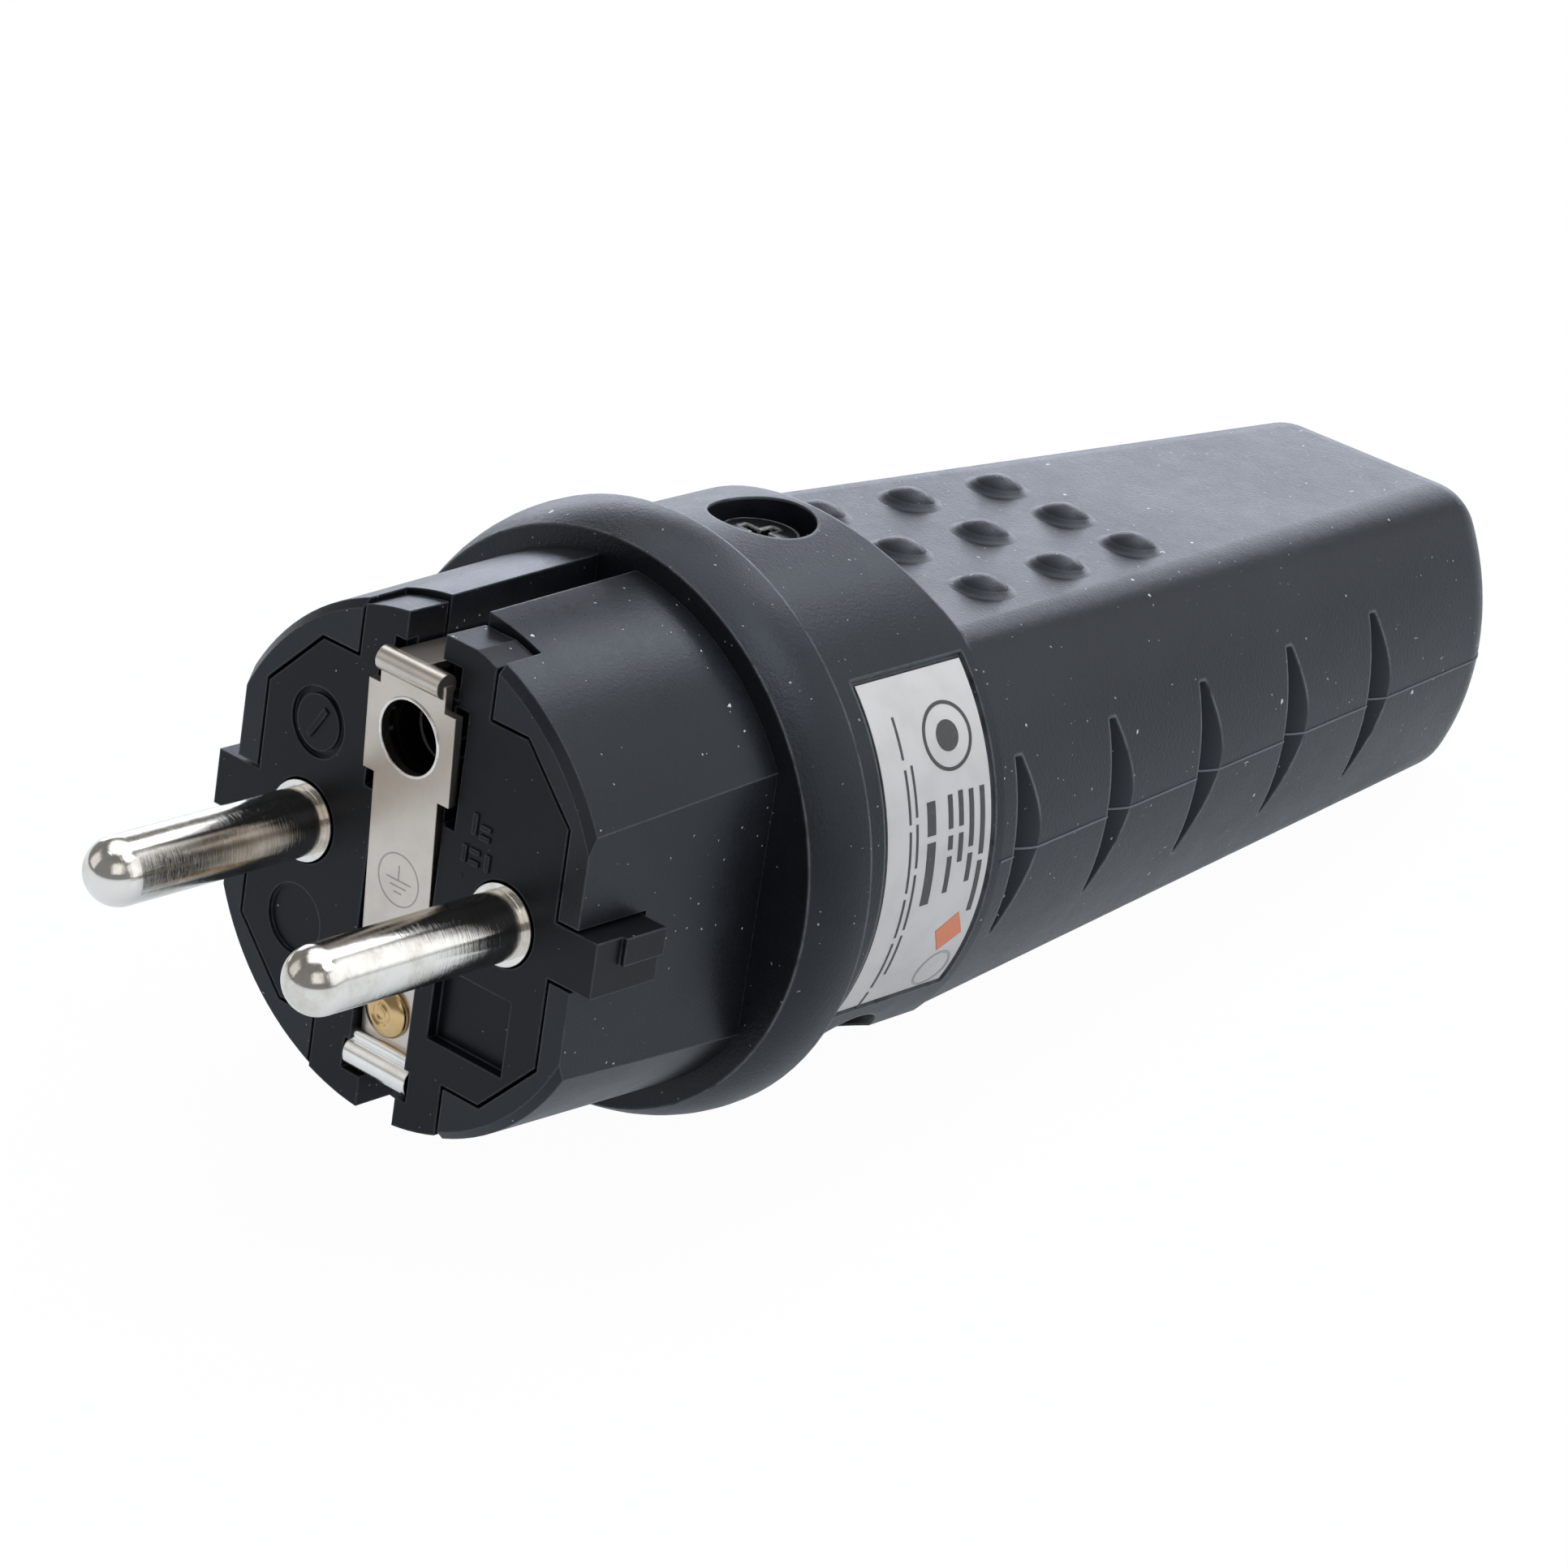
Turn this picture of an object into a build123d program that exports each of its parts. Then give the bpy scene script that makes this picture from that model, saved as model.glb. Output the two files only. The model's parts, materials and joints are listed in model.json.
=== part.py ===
from build123d import *
from math import atan2, degrees, radians, sin, sqrt, tan
import os

# Rewirable rubber mains plug with two round pins, an earth strip and a tapered grip.
# Built in the plug's own axes, in millimetres: X to the right when facing the pins,
# Y from the face towards the cable entry, Z up, origin at the centre of the face.
# At the end every piece is laid down together, as the plug rests on a table.

# Clearances
seam_gap = 0.25          # between the contact carrier and the front shell
sleeve_gap = 0.3         # between the shell's skirt and the rubber bore
hole_gap = 0.15          # around pins, rivets and screws in their holes
head_gap = 0.42          # between the terminal heads and the wall of their chamber
label_gap = 0.05         # adhesive under the label
label_margin = 0.35      # rim of the label's recess

# Front body: round, drafted, with two side flats
face_radius = 18.4
body_draft = 1.5
body_length = 17.8
flat_half_width = 16.2
face_chamfer = 0.6
channel_half_width = 1.75
channel_shift = 0.4      # upper channel to the left, lower one to the right
channel_floor = 14.8
skirt_wall = 1.6
skirt_end = 34.8

# Rubber housing: flange, collar and grip
flange_front_radius = 20.5
flange_mid_radius = 21.4
flange_radius = 21.7
flange_nose = 2.1
flange_length = 5.0
collar_radius = 20.0
collar_top_end = 36.2
collar_depth = 16.8      # of the bowed underside of the collar below the axis
grip_start = 38.6
grip_end = 106.2
panel_start_height = 14.65
panel_end_height = 12.4
lower_panel_rise = 1.1   # the lower panel lies this much nearer the axis
lower_end_rise = 1.8     # and this much at the rear end
panel_end_half_width = 8.9
grip_end_half_width = 13.1
panel_edge_round = 3.0
panel_end_round = 4.6
end_edge_round = 4.0
rubber_floor = 1.3       # rubber left under each screw head
cavity_end = 60.0
cavity_half_width = 12.5
cavity_half_height = 10.8
cavity_corner = 3.0
throat_length = 10.0
cable_radius = 5.3

# Round studs on both panels, in rows that close up towards the cable
stud_radius = 2.05
stud_height = 1.0
stud_root = 2.0          # from the top of a stud down into the panel
stud_first_y = 47.4
stud_pitch = 9.2
stud_rows = 3
stud_first_x = 7.8
stud_last_x = 6.45

# Finger grooves on both sides
groove_count = 5
groove_first_y = 40.2
groove_pitch = 11.75
groove_depth = 1.7
groove_length = 4.6
groove_top = 7.1         # above the parting line
groove_bottom = 6.3      # below it
groove_lift = 0.2        # the run-out ends this far outside the surface
groove_lean = 2.5        # degrees, shallower towards the lower end

# Contact carrier
carrier_length = 14.0
carrier_half_width = 14.1
carrier_half_height = 13.2
carrier_side_height = 8.6
carrier_top_half_width = 9.6
tab_half_width = 6.1
tab_length = 3.6
tab_inset = 0.35
tab_drop = 0.5           # one upper tab sits this much deeper
rib_half_height = 2.0
rib_length = 6.2
rib_reach = 18.0
rib_pad_length = 3.8
rib_pad_height = 0.4
pocket_left = 4.3
pocket_right = 11.3
pocket_top = -5.0
pocket_bottom = -10.5
pocket_depth = 0.9
mark_x = -9.2
ring_mark_z = 7.3
disc_mark_z = -7.2
mark_radius = 2.5
mark_line = 0.5
mark_depth = 0.35

# Pins with their terminal heads
pin_radius = 2.4
pin_length = 19.0
pin_spacing = 19.0
pin_shoulder_radius = 2.85
pin_shoulder_length = 3.0
pin_shoulder_proud = 0.2
pin_shank_radius = 2.2
head_width = 6.0
head_height = 7.0
head_length = 11.0
wire_radius = 1.7
wire_depth = 8.0

# Earth strip on the face, its contact sleeve, rivet and terminal
strip_thickness = 0.7
strip_proud = 0.15
strip_lean = 4.0         # degrees, upper end out of the face
strip_half_width = 3.0
strip_foot_half_width = 2.4
strip_foot_top = -7.0
strip_tab_half_width = 4.05
strip_tab_bottom = 6.3
strip_tab_top = 12.8
strip_tab_room = 1.7     # free space in the carrier below each tab
bead_radius = 0.9
bead_half_width = 2.9
arm_half_width = 1.5
arm_thickness = 0.6
arm_end = 15.0
earth_offset = 9.9       # earth-pin hole above the centre
rivet_offset = 10.4      # rivet below the centre
earth_hole_radius = 2.65
sleeve_bore = 2.45
sleeve_wall = 0.45
sleeve_length = 12.6
sleeve_slit = 1.2
room_depth = 2.2         # free space behind tabs and beads
rivet_head_radius = 1.86
rivet_head_height = 0.45
rivet_dimple_radius = 0.8
rivet_dimple_depth = 0.2
rivet_shank_radius = 1.2
rivet_grip = 3.5
earth_head_width = 7.0
earth_head_height = 5.4
terminal_wall = 1.2      # between the rivet and the wire hole

# Screws
screw_radius = 1.5
terminal_cap_radius = 2.4
terminal_cap_height = 1.8
terminal_screw_length = 3.3
slot_width = 0.7
slot_depth = 0.9
housing_screw_places = {"top": (0.0, 31.7), "right": (135.0, 30.0), "left": (-135.0, 30.0)}
housing_cap_radius = 2.8
housing_cap_height = 2.0
housing_screw_length = 5.8
screw_recess_radius = 3.85
boss_radius = 2.7
boss_depth = 3.0
cross_length = 3.4
cross_width = 0.8
cross_depth = 1.2

# Cord clamp on the shell's tongue
tongue_half_width = 9.3
tongue_bottom = -10.3
tongue_top = -7.3
tongue_start = 30.0
tongue_end = 57.0
clamp_start = 45.0
clamp_length = 8.0
clamp_bore = 4.7
clamp_height = 7.4
clamp_edge_round = 1.5
clamp_screw_x = 7.2
clamp_cap_radius = 1.95
clamp_cap_height = 2.0
clamp_screw_length = 16.0

# Label on the collar
label_start_y = 26.5
label_width = 10.8
label_top_angle = 43.0
label_bottom_angle = -29.0
label_thickness = 0.12
label_depth = 0.3        # depth of the label's recess

# Derived places
body_rear_radius = face_radius + body_length * tan(radians(body_draft))
flange_end = body_length + flange_length
pin_x = pin_spacing / 2
chamber_radius = sqrt((pin_x + head_width / 2)**2 + (head_height / 2)**2) + head_gap
skirt_radius = chamber_radius + skirt_wall
bore_radius = skirt_radius + sleeve_gap
bore_end = skirt_end + sleeve_gap
screw_seat = bore_radius + rubber_floor
strip_front = -strip_proud
strip_back = strip_front + strip_thickness
arm_low = channel_floor + hole_gap
strip_end = arm_low + arm_thickness - bead_radius
strip_turn = Rot(strip_lean, 0, 0)
bead_shift = strip_end * sin(radians(strip_lean))
head_end = carrier_length + head_length
screw_y = head_end - wire_depth / 2
outside = flange_radius + 5.0    # beyond every outer surface
ahead = -2.0                     # in front of the face


def rod(radius, start, end, x=0.0, z=0.0):
    """Round bar along Y."""
    bar = Cylinder(radius, end - start, align=(Align.CENTER, Align.CENTER, Align.MIN))
    return Pos(x, start, z) * Rot(-90, 0, 0) * bar


def post(radius, low, high, x=0.0, y=0.0):
    """Round bar along Z."""
    bar = Cylinder(radius, high - low, align=(Align.CENTER, Align.CENTER, Align.MIN))
    return Pos(x, y, low) * bar


def block(x_range, y_range, z_range):
    """Box between two corners."""
    low = Vector(x_range[0], y_range[0], z_range[0])
    high = Vector(x_range[1], y_range[1], z_range[1])
    size = high - low
    return Pos(*((low + high) * 0.5)) * Box(size.X, size.Y, size.Z)


def turned(points):
    """Solid turned about Y from (radius, y) points."""
    return revolve(make_face(Polyline(*points, close=True)), Axis.Y)


def across(sketch, start, end):
    """Sketch in X and Z, drawn out along Y."""
    return extrude(Plane.XZ.offset(-start) * sketch, amount=-(end - start))


def radial(part, place):
    """Piece modelled along +Z, turned about Y to an angle round the collar and a place along it."""
    angle, y = place
    return Pos(0, y, 0) * Rot(0, angle, 0) * part


def both_sides(part, plane):
    """A piece together with its mirror image."""
    return part + mirror(part, about=plane)


def half_turned(part):
    """A piece together with itself turned half round the plug's axis."""
    return part + Rot(0, 180, 0) * part


def along_grip(y, start, end):
    """A size that runs straight from one end of the grip to the other."""
    return start + (end - start) * (y - grip_start) / (grip_end - grip_start)


def panel_height(y):
    """Height of the flat panel above the axis."""
    return along_grip(y, panel_start_height, panel_end_height)


def side_half_width(y):
    """Half width of the grip at its parting line."""
    return along_grip(y, collar_radius, grip_end_half_width)


def lower_panel_height(y):
    """Depth of the lower flat panel below the axis."""
    return panel_height(y) - along_grip(y, lower_panel_rise, lower_end_rise)


def grip_section(y):
    """Cross-section of the grip: two flats joined by bowed sides."""
    half_height = panel_height(y)
    half_width = side_half_width(y)
    start_half_width = sqrt(collar_radius**2 - panel_start_height**2)
    panel_half_width = along_grip(y, start_half_width, panel_end_half_width)
    bow_share = panel_half_width**2 + half_height**2 - half_width**2
    bow_centre = bow_share / (2 * (panel_half_width - half_width))
    bow_radius = half_width - bow_centre
    low_height = lower_panel_height(y)
    low_half_width = bow_centre + sqrt(bow_radius**2 - low_height**2)
    corner = (panel_half_width, half_height)
    low_corner = (low_half_width, -low_height)
    left_corner = (-panel_half_width, half_height)
    low_left_corner = (-low_half_width, -low_height)
    face = make_face([
        Line(left_corner, corner),
        ThreePointArc(corner, (half_width, 0), low_corner),
        Line(low_corner, low_left_corner),
        ThreePointArc(low_left_corner, (-half_width, 0), left_corner),
    ])
    edge_round = along_grip(y, panel_edge_round, panel_end_round)
    return Plane.XZ.offset(-y) * fillet(face.vertices(), edge_round)


def make_grip():
    """Tapered grip with a rounded rear end and the cable entry through it."""
    grip = loft([grip_section(grip_start), grip_section(grip_end)], ruled=True)
    end_face = grip.faces().sort_by(Axis.Y)[-1]
    grip = fillet(end_face.edges(), end_edge_round)
    return grip - rod(cable_radius, flange_end, grip_end + 1)


def collar_cut(half_height):
    """Wedge that cuts the collar down to a panel on a sloped wall."""
    slope = (grip_start - collar_top_end) / (collar_radius - half_height)
    profile = Polyline(
        (collar_top_end - slope * (outside - collar_radius), outside),
        (grip_start, half_height),
        (grip_start + 1, half_height),
        (grip_start + 1, outside),
        close=True,
    )
    return extrude(Plane.YZ * make_face(profile), amount=outside, both=True)


def collar_underside():
    """What is cut away under the collar, below a bowed line between the edges of the lower panel."""
    low = -lower_panel_height(grip_start)
    half_width = sqrt(collar_radius**2 - low**2)
    left = (-half_width, low)
    right = (half_width, low)
    bow = ThreePointArc(left, (0, -collar_depth), right)
    rest = Polyline(right, (outside, low), (outside, -outside), (-outside, -outside), (-outside, low), left)
    return across(make_face([bow, rest]), flange_end, grip_start)


def make_collar():
    """Flange with a crowned rim, and the collar with a bowed underside, cut down to both panels."""
    front = (flange_front_radius, body_length)
    rear = (flange_radius, flange_end)
    crown = ThreePointArc(front, (flange_mid_radius, body_length + flange_nose), rear)
    collar = Polyline(rear, (collar_radius, flange_end), (collar_radius, grip_start), (0, grip_start))
    back = Polyline((0, grip_start), (0, body_length), front)
    ring = revolve(make_face([crown, collar, back]), Axis.Y) - collar_underside()
    lower_cut = collar_cut(lower_panel_height(grip_start))
    return ring - collar_cut(panel_start_height) - mirror(lower_cut, about=Plane.XY)


def make_studs(height):
    """Low round studs in a grid on a panel whose height is given along Y."""
    ball_radius = (stud_radius**2 + stud_height**2) / (2 * stud_height)
    studs = []
    for row in range(stud_rows):
        y = stud_first_y + row * stud_pitch
        x = stud_first_x + (stud_last_x - stud_first_x) * row / (stud_rows - 1)
        top = height(y) + stud_height
        cap = Pos(0, y, top - ball_radius) * Sphere(ball_radius)
        cap = cap & block((-outside, outside), (0, grip_end), (top - stud_root, outside))
        studs += [Pos(side * x, 0, 0) * cap for side in (-1, 0, 1)]
    return studs


def make_grooves():
    """Scoops for the right side: a steep front wall and a rounded run-out to the rear."""
    grooves = []
    for place in range(groove_count):
        y = groove_first_y + place * groove_pitch
        surface = side_half_width(y)
        run_out_y = y + groove_length
        run_out = (side_half_width(run_out_y) + groove_lift, run_out_y)
        along_side = (surface - side_half_width(run_out_y), -groove_length)
        floor = (surface - groove_depth, y)
        scoop = TangentArc(run_out, floor, tangent=along_side)
        rim = Polyline(floor, (outside, y), (outside, run_out_y), run_out)
        profile = Pos(0, 0, -groove_bottom) * make_face([scoop, rim])
        cutter = extrude(profile, amount=groove_bottom + groove_top)
        grooves.append(Pos(surface, y, 0) * Rot(0, -groove_lean, 0) * Pos(-surface, -y, 0) * cutter)
    return grooves


def make_cavity():
    """Room inside the rubber: bore for the skirt, wiring room, throat and cable entry."""
    bore = rod(bore_radius, body_length + ahead, bore_end)
    outline = RectangleRounded(2 * cavity_half_width, 2 * cavity_half_height, cavity_corner)
    room = across(outline, bore_end - 1, cavity_end)
    wide = cavity_half_height - cavity_corner
    taper = (wide - cable_radius) / throat_length
    throat = turned([
        (0, cavity_end - 1),
        (wide, cavity_end - 1),
        (wide, cavity_end),
        (0, cavity_end + wide / taper),
    ])
    return bore + room + throat


def label_wrap(inner, outer, margin):
    """Patch round the right side of the collar, wider than the label by the margin."""
    start = label_start_y - margin
    end = label_start_y + label_width + margin
    profile = make_face(Polyline((inner, start), (outer, start), (outer, end), (inner, end), close=True))
    margin_angle = degrees(margin / collar_radius)
    wrap = revolve(profile, Axis.Y, label_top_angle - label_bottom_angle + 2 * margin_angle)
    return Rot(0, -label_top_angle - margin_angle, 0) * wrap


def make_housing():
    """One rubber moulding: flange, collar, grip, studs, grooves, label bed and screw recesses."""
    housing = make_collar() + make_grip() - make_cavity()
    lower_studs = [mirror(stud, about=Plane.XY) for stud in make_studs(lower_panel_height)]
    housing = housing + make_studs(panel_height) + lower_studs
    grooves = make_grooves()
    housing = housing - grooves - [mirror(groove, about=Plane.YZ) for groove in grooves]
    housing = housing - label_wrap(collar_radius - label_depth, outside, label_margin)
    recess = post(screw_recess_radius, screw_seat, outside)
    recess = recess + post(screw_radius + hole_gap, 0, outside)
    return housing - [radial(recess, place) for place in housing_screw_places.values()]


def carrier_outline():
    """Front view of the carrier without its tabs and ribs."""
    quarter = [
        (carrier_half_width, carrier_side_height),
        (carrier_top_half_width, carrier_half_height),
    ]
    left = [(-x, z) for x, z in reversed(quarter)]
    lower = [(-x, -z) for x, z in quarter + left]
    return make_face(Polyline(*quarter, *left, *lower, close=True))


def make_shell():
    """Insulating body: drafted round front with flats, pocket for the carrier, skirt and clamp tongue."""
    body = turned([
        (0, 0),
        (face_radius - face_chamfer, 0),
        (face_radius, face_chamfer),
        (body_rear_radius, body_length),
        (0, body_length),
    ])
    flats = block((flat_half_width, outside), (ahead, body_length + 1), (-outside, outside))
    body = body - both_sides(flats, Plane.YZ)
    shell = body + rod(skirt_radius, body_length, skirt_end)

    pocket = across(offset(carrier_outline(), seam_gap, kind=Kind.INTERSECTION), ahead, carrier_length)
    tab_slot = tab_half_width + seam_gap
    notch = block((-tab_slot, tab_slot), (ahead, tab_length + seam_gap), (carrier_half_height, outside))
    channel = block(
        (-channel_half_width - channel_shift, channel_half_width - channel_shift),
        (ahead, body_length),
        (channel_floor, outside),
    )
    rib_slot = rib_half_height + seam_gap
    slot = block((carrier_half_width - 1, outside), (ahead, rib_length + seam_gap), (-rib_slot, rib_slot))
    shell = shell - pocket - rod(chamber_radius, carrier_length, skirt_end + 1)
    shell = shell - half_turned(notch + channel) - both_sides(slot, Plane.YZ)

    tongue = block(
        (-tongue_half_width, tongue_half_width),
        (tongue_start, tongue_end),
        (tongue_bottom, tongue_top),
    )
    clamp_end = clamp_start + clamp_length
    saddle = block((-tongue_half_width, tongue_half_width), (clamp_start, clamp_end), (tongue_top, 0))
    shell = shell + tongue + (saddle - rod(clamp_bore, clamp_start - 1, clamp_end + 1))
    boss = post(boss_radius, chamber_radius - boss_depth, chamber_radius + skirt_wall / 2)
    shell = shell + [radial(boss, place) for place in housing_screw_places.values()]
    drill = post(screw_radius + hole_gap, 0, outside)
    cut_depth = screw_seat - housing_screw_length - hole_gap
    drill = drill & block((-outside, outside), (-outside, outside), (cut_depth, outside))
    shell = shell - [radial(drill, place) for place in housing_screw_places.values()]
    clamp_middle = clamp_start + clamp_length / 2
    holes = [
        post(screw_radius + hole_gap, tongue_bottom - 1, 1, side * clamp_screw_x, clamp_middle)
        for side in (-1, 1)
    ]
    return shell - holes


def make_bed():
    """What the earth strip needs cut out of the carrier, square to the face."""
    bed_end = strip_end + bead_radius
    foot_width = strip_foot_half_width + seam_gap
    plate_width = strip_half_width + seam_gap
    plate_low = strip_foot_top - seam_gap
    bed = block((-plate_width, plate_width), (ahead, strip_back), (plate_low, bed_end))
    foot = block((-foot_width, foot_width), (ahead, strip_back), (-bed_end, plate_low))
    ear_width = strip_tab_half_width + seam_gap
    ear_low = strip_tab_bottom - strip_tab_room
    ears = block((-ear_width, ear_width), (ahead, strip_back), (ear_low, strip_tab_top + seam_gap))
    gutters = block((-ear_width, ear_width), (0, room_depth), (ear_low, strip_tab_top + seam_gap))
    gutters = gutters - block((-strip_half_width, strip_half_width), (ahead, outside), (-outside, outside))
    bead_width = bead_half_width + seam_gap
    bead_low = strip_end - bead_radius - seam_gap
    bead = block((-bead_width, bead_width), (ahead, room_depth), (bead_low, bed_end + seam_gap))
    return bed + foot + ears + gutters + both_sides(bead, Plane.XY)


def make_carrier():
    """Inner block on the face, with tabs, side ribs, pin holes and the bed of the earth strip."""
    carrier = across(carrier_outline(), 0, carrier_length)

    tab_top = face_radius - tab_inset
    low_limit = carrier_half_height - 1
    left_inner = -channel_half_width - channel_shift
    right_inner = channel_half_width - channel_shift
    left_tab = block((-tab_half_width, left_inner), (0, tab_length), (low_limit, outside))
    right_tab = block((right_inner, tab_half_width), (0, tab_length), (low_limit, outside))
    dropped = block((right_inner, outside), (ahead, outside), (tab_top - tab_drop, outside))
    tabs = half_turned(left_tab + right_tab) & rod(tab_top, 0, tab_length)
    carrier = carrier + (tabs - dropped)

    rib = block((carrier_half_width - 1, rib_reach), (0, rib_length), (-rib_half_height, rib_half_height))
    pad = block(
        (rib_reach, rib_reach + rib_pad_height),
        (rib_length - rib_pad_length, rib_length),
        (0, rib_half_height),
    )
    carrier = carrier + both_sides(rib + pad, Plane.YZ)
    carrier = carrier - strip_turn * make_bed()

    for side in (-1, 1):
        carrier = carrier - rod(pin_shoulder_radius + hole_gap, ahead, pin_shoulder_length, side * pin_x)
        carrier = carrier - rod(pin_shank_radius + hole_gap, 0, carrier_length + 1, side * pin_x)
    sleeve_room = sleeve_bore + sleeve_wall + hole_gap
    carrier = carrier - rod(sleeve_room, ahead, strip_back + sleeve_length, 0, earth_offset)
    rivet_hole = rod(rivet_shank_radius + hole_gap, ahead, carrier_length + rivet_grip, 0, -rivet_offset)
    carrier = carrier - strip_turn * rivet_hole

    pocket = block((pocket_left, pocket_right), (ahead, pocket_depth), (pocket_bottom, pocket_top))
    disc = rod(mark_radius, ahead, mark_depth, mark_x, disc_mark_z)
    ring = rod(mark_radius, ahead, mark_depth, mark_x, ring_mark_z)
    ring = ring - rod(mark_radius - mark_line, ahead, mark_depth, mark_x, ring_mark_z)
    return carrier - pocket - disc - ring


def make_pin(x):
    """Turned pin with a round tip, a shoulder at the face and a terminal head behind the carrier."""
    tip_centre = pin_radius - pin_length
    pin = rod(pin_radius, tip_centre, 0) + Pos(0, tip_centre, 0) * Sphere(pin_radius)
    pin = pin + rod(pin_shoulder_radius, -pin_shoulder_proud, pin_shoulder_length)
    pin = pin + rod(pin_shank_radius, pin_shoulder_length, carrier_length)
    head = block(
        (-head_width / 2, head_width / 2),
        (carrier_length, head_end),
        (-head_height / 2, head_height / 2),
    )
    head = head - rod(wire_radius, head_end - wire_depth, head_end + 1)
    head = head - post(screw_radius + hole_gap, 0, head_height, 0, screw_y)
    return Pos(x, 0, 0) * (pin + head)


def make_terminal_screw(x, seat):
    """Slotted clamp screw that stands on a terminal head."""
    cap_top = seat + terminal_cap_height
    screw = post(terminal_cap_radius, seat, cap_top) + post(screw_radius, seat - terminal_screw_length, seat)
    slot = block(
        (-terminal_cap_radius, terminal_cap_radius),
        (-slot_width / 2, slot_width / 2),
        (cap_top - slot_depth, cap_top + 1),
    )
    return Pos(x, screw_y, 0) * (screw - slot)


def make_earth_strip():
    """Folded strip: plate with the earth-pin hole, rolled beads and two contact arms in the channels."""
    plate_y = (strip_front, strip_back)
    plate = block((-strip_half_width, strip_half_width), plate_y, (strip_foot_top, strip_end))
    foot = block((-strip_foot_half_width, strip_foot_half_width), plate_y, (-strip_end, strip_foot_top))
    ears = block((-strip_tab_half_width, strip_tab_half_width), plate_y, (strip_tab_bottom, strip_tab_top))
    bead = Pos(0, 0, strip_end) * Rot(0, 90, 0) * Cylinder(bead_radius, 2 * bead_half_width)
    rivet_hole = rod(rivet_shank_radius + hole_gap, ahead, strip_back + 1, 0, -rivet_offset)
    strip = strip_turn * (plate + foot + ears + both_sides(bead, Plane.XY) - rivet_hole)
    for side in (-1, 1):
        middle = -side * channel_shift
        heights = sorted((side * arm_low, side * (arm_low + arm_thickness)))
        sides = (middle - arm_half_width, middle + arm_half_width)
        arm = block(sides, (-side * bead_shift, arm_end), heights)
        strip = strip + arm
    return strip - rod(earth_hole_radius, 2 * ahead, strip_back + 1, 0, earth_offset)


def make_sleeve():
    """Slotted sleeve that grips the earth pin behind the strip."""
    start = strip_back
    end = strip_back + sleeve_length
    sleeve = rod(sleeve_bore + sleeve_wall, start, end) - rod(sleeve_bore, start - 1, end + 1)
    slit = block((0, outside), (start - 1, end + 1), (-sleeve_slit / 2, sleeve_slit / 2))
    return Pos(0, 0, earth_offset) * (sleeve - slit)


def make_rivet():
    """Brass rivet through the strip, the carrier and the earth terminal."""
    head_top = strip_front - rivet_head_height
    head = rod(rivet_head_radius, head_top, strip_front)
    head = fillet(head.edges().filter_by(GeomType.CIRCLE).sort_by(Axis.Y)[0], rivet_head_height / 2)
    head = head - rod(rivet_dimple_radius, ahead, head_top + rivet_dimple_depth)
    shank = rod(rivet_shank_radius, strip_front, carrier_length + rivet_grip)
    return strip_turn * Pos(0, 0, -rivet_offset) * (head + shank)


def make_earth_terminal():
    """Terminal block on the rear of the carrier, held by the rivet."""
    top = -earth_offset + earth_head_height / 2
    terminal = block(
        (-earth_head_width / 2, earth_head_width / 2),
        (carrier_length, head_end),
        (-earth_offset - earth_head_height / 2, top),
    )
    rivet_end = carrier_length + rivet_grip + hole_gap
    rivet_hole = rod(rivet_shank_radius + hole_gap, 0, rivet_end, 0, -rivet_offset)
    terminal = terminal - strip_turn * rivet_hole
    wire_start = rivet_end + terminal_wall
    terminal = terminal - rod(wire_radius, wire_start, head_end + 1, 0, -earth_offset)
    return terminal - post(screw_radius + hole_gap, -earth_offset, top + 1, 0, screw_y)


def make_clamp_bar():
    """Bridge that closes the cord clamp."""
    clamp_end = clamp_start + clamp_length
    bar = block((-tongue_half_width, tongue_half_width), (clamp_start, clamp_end), (0, clamp_height))
    top_edges = bar.edges().filter_by(Axis.Y).group_by(Axis.Z)[-1]
    bar = fillet(top_edges, clamp_edge_round)
    bar = bar - rod(clamp_bore, clamp_start - 1, clamp_end + 1)
    clamp_middle = clamp_start + clamp_length / 2
    holes = [
        post(screw_radius + hole_gap, -1, clamp_height + 1, side * clamp_screw_x, clamp_middle)
        for side in (-1, 1)
    ]
    return bar - holes


def make_clamp_screw(x):
    """Screw of the cord clamp, its cap seated on the bar."""
    clamp_middle = clamp_start + clamp_length / 2
    cap = post(clamp_cap_radius, clamp_height, clamp_height + clamp_cap_height)
    shank = post(screw_radius, clamp_height - clamp_screw_length, clamp_height)
    slot_floor = clamp_height + clamp_cap_height - slot_depth
    slot = block((-outside, outside), (-slot_width / 2, slot_width / 2), (slot_floor, outside))
    return Pos(x, clamp_middle, 0) * (cap + shank - slot)


def make_housing_screw(place):
    """Cross-head screw that holds the rubber housing on the shell's skirt."""
    cap_top = screw_seat + housing_cap_height
    screw = post(housing_cap_radius, screw_seat, cap_top)
    screw = screw + post(screw_radius, screw_seat - housing_screw_length, screw_seat)
    long = (-cross_length / 2, cross_length / 2)
    narrow = (-cross_width / 2, cross_width / 2)
    deep = (cap_top - cross_depth, cap_top + 1)
    return radial(screw - block(long, narrow, deep) - block(narrow, long, deep), place)


def make_label():
    """Thin sticker in its bed on the right side of the collar."""
    inner = collar_radius - label_depth + label_gap
    return label_wrap(inner, inner + label_thickness, 0)


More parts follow.
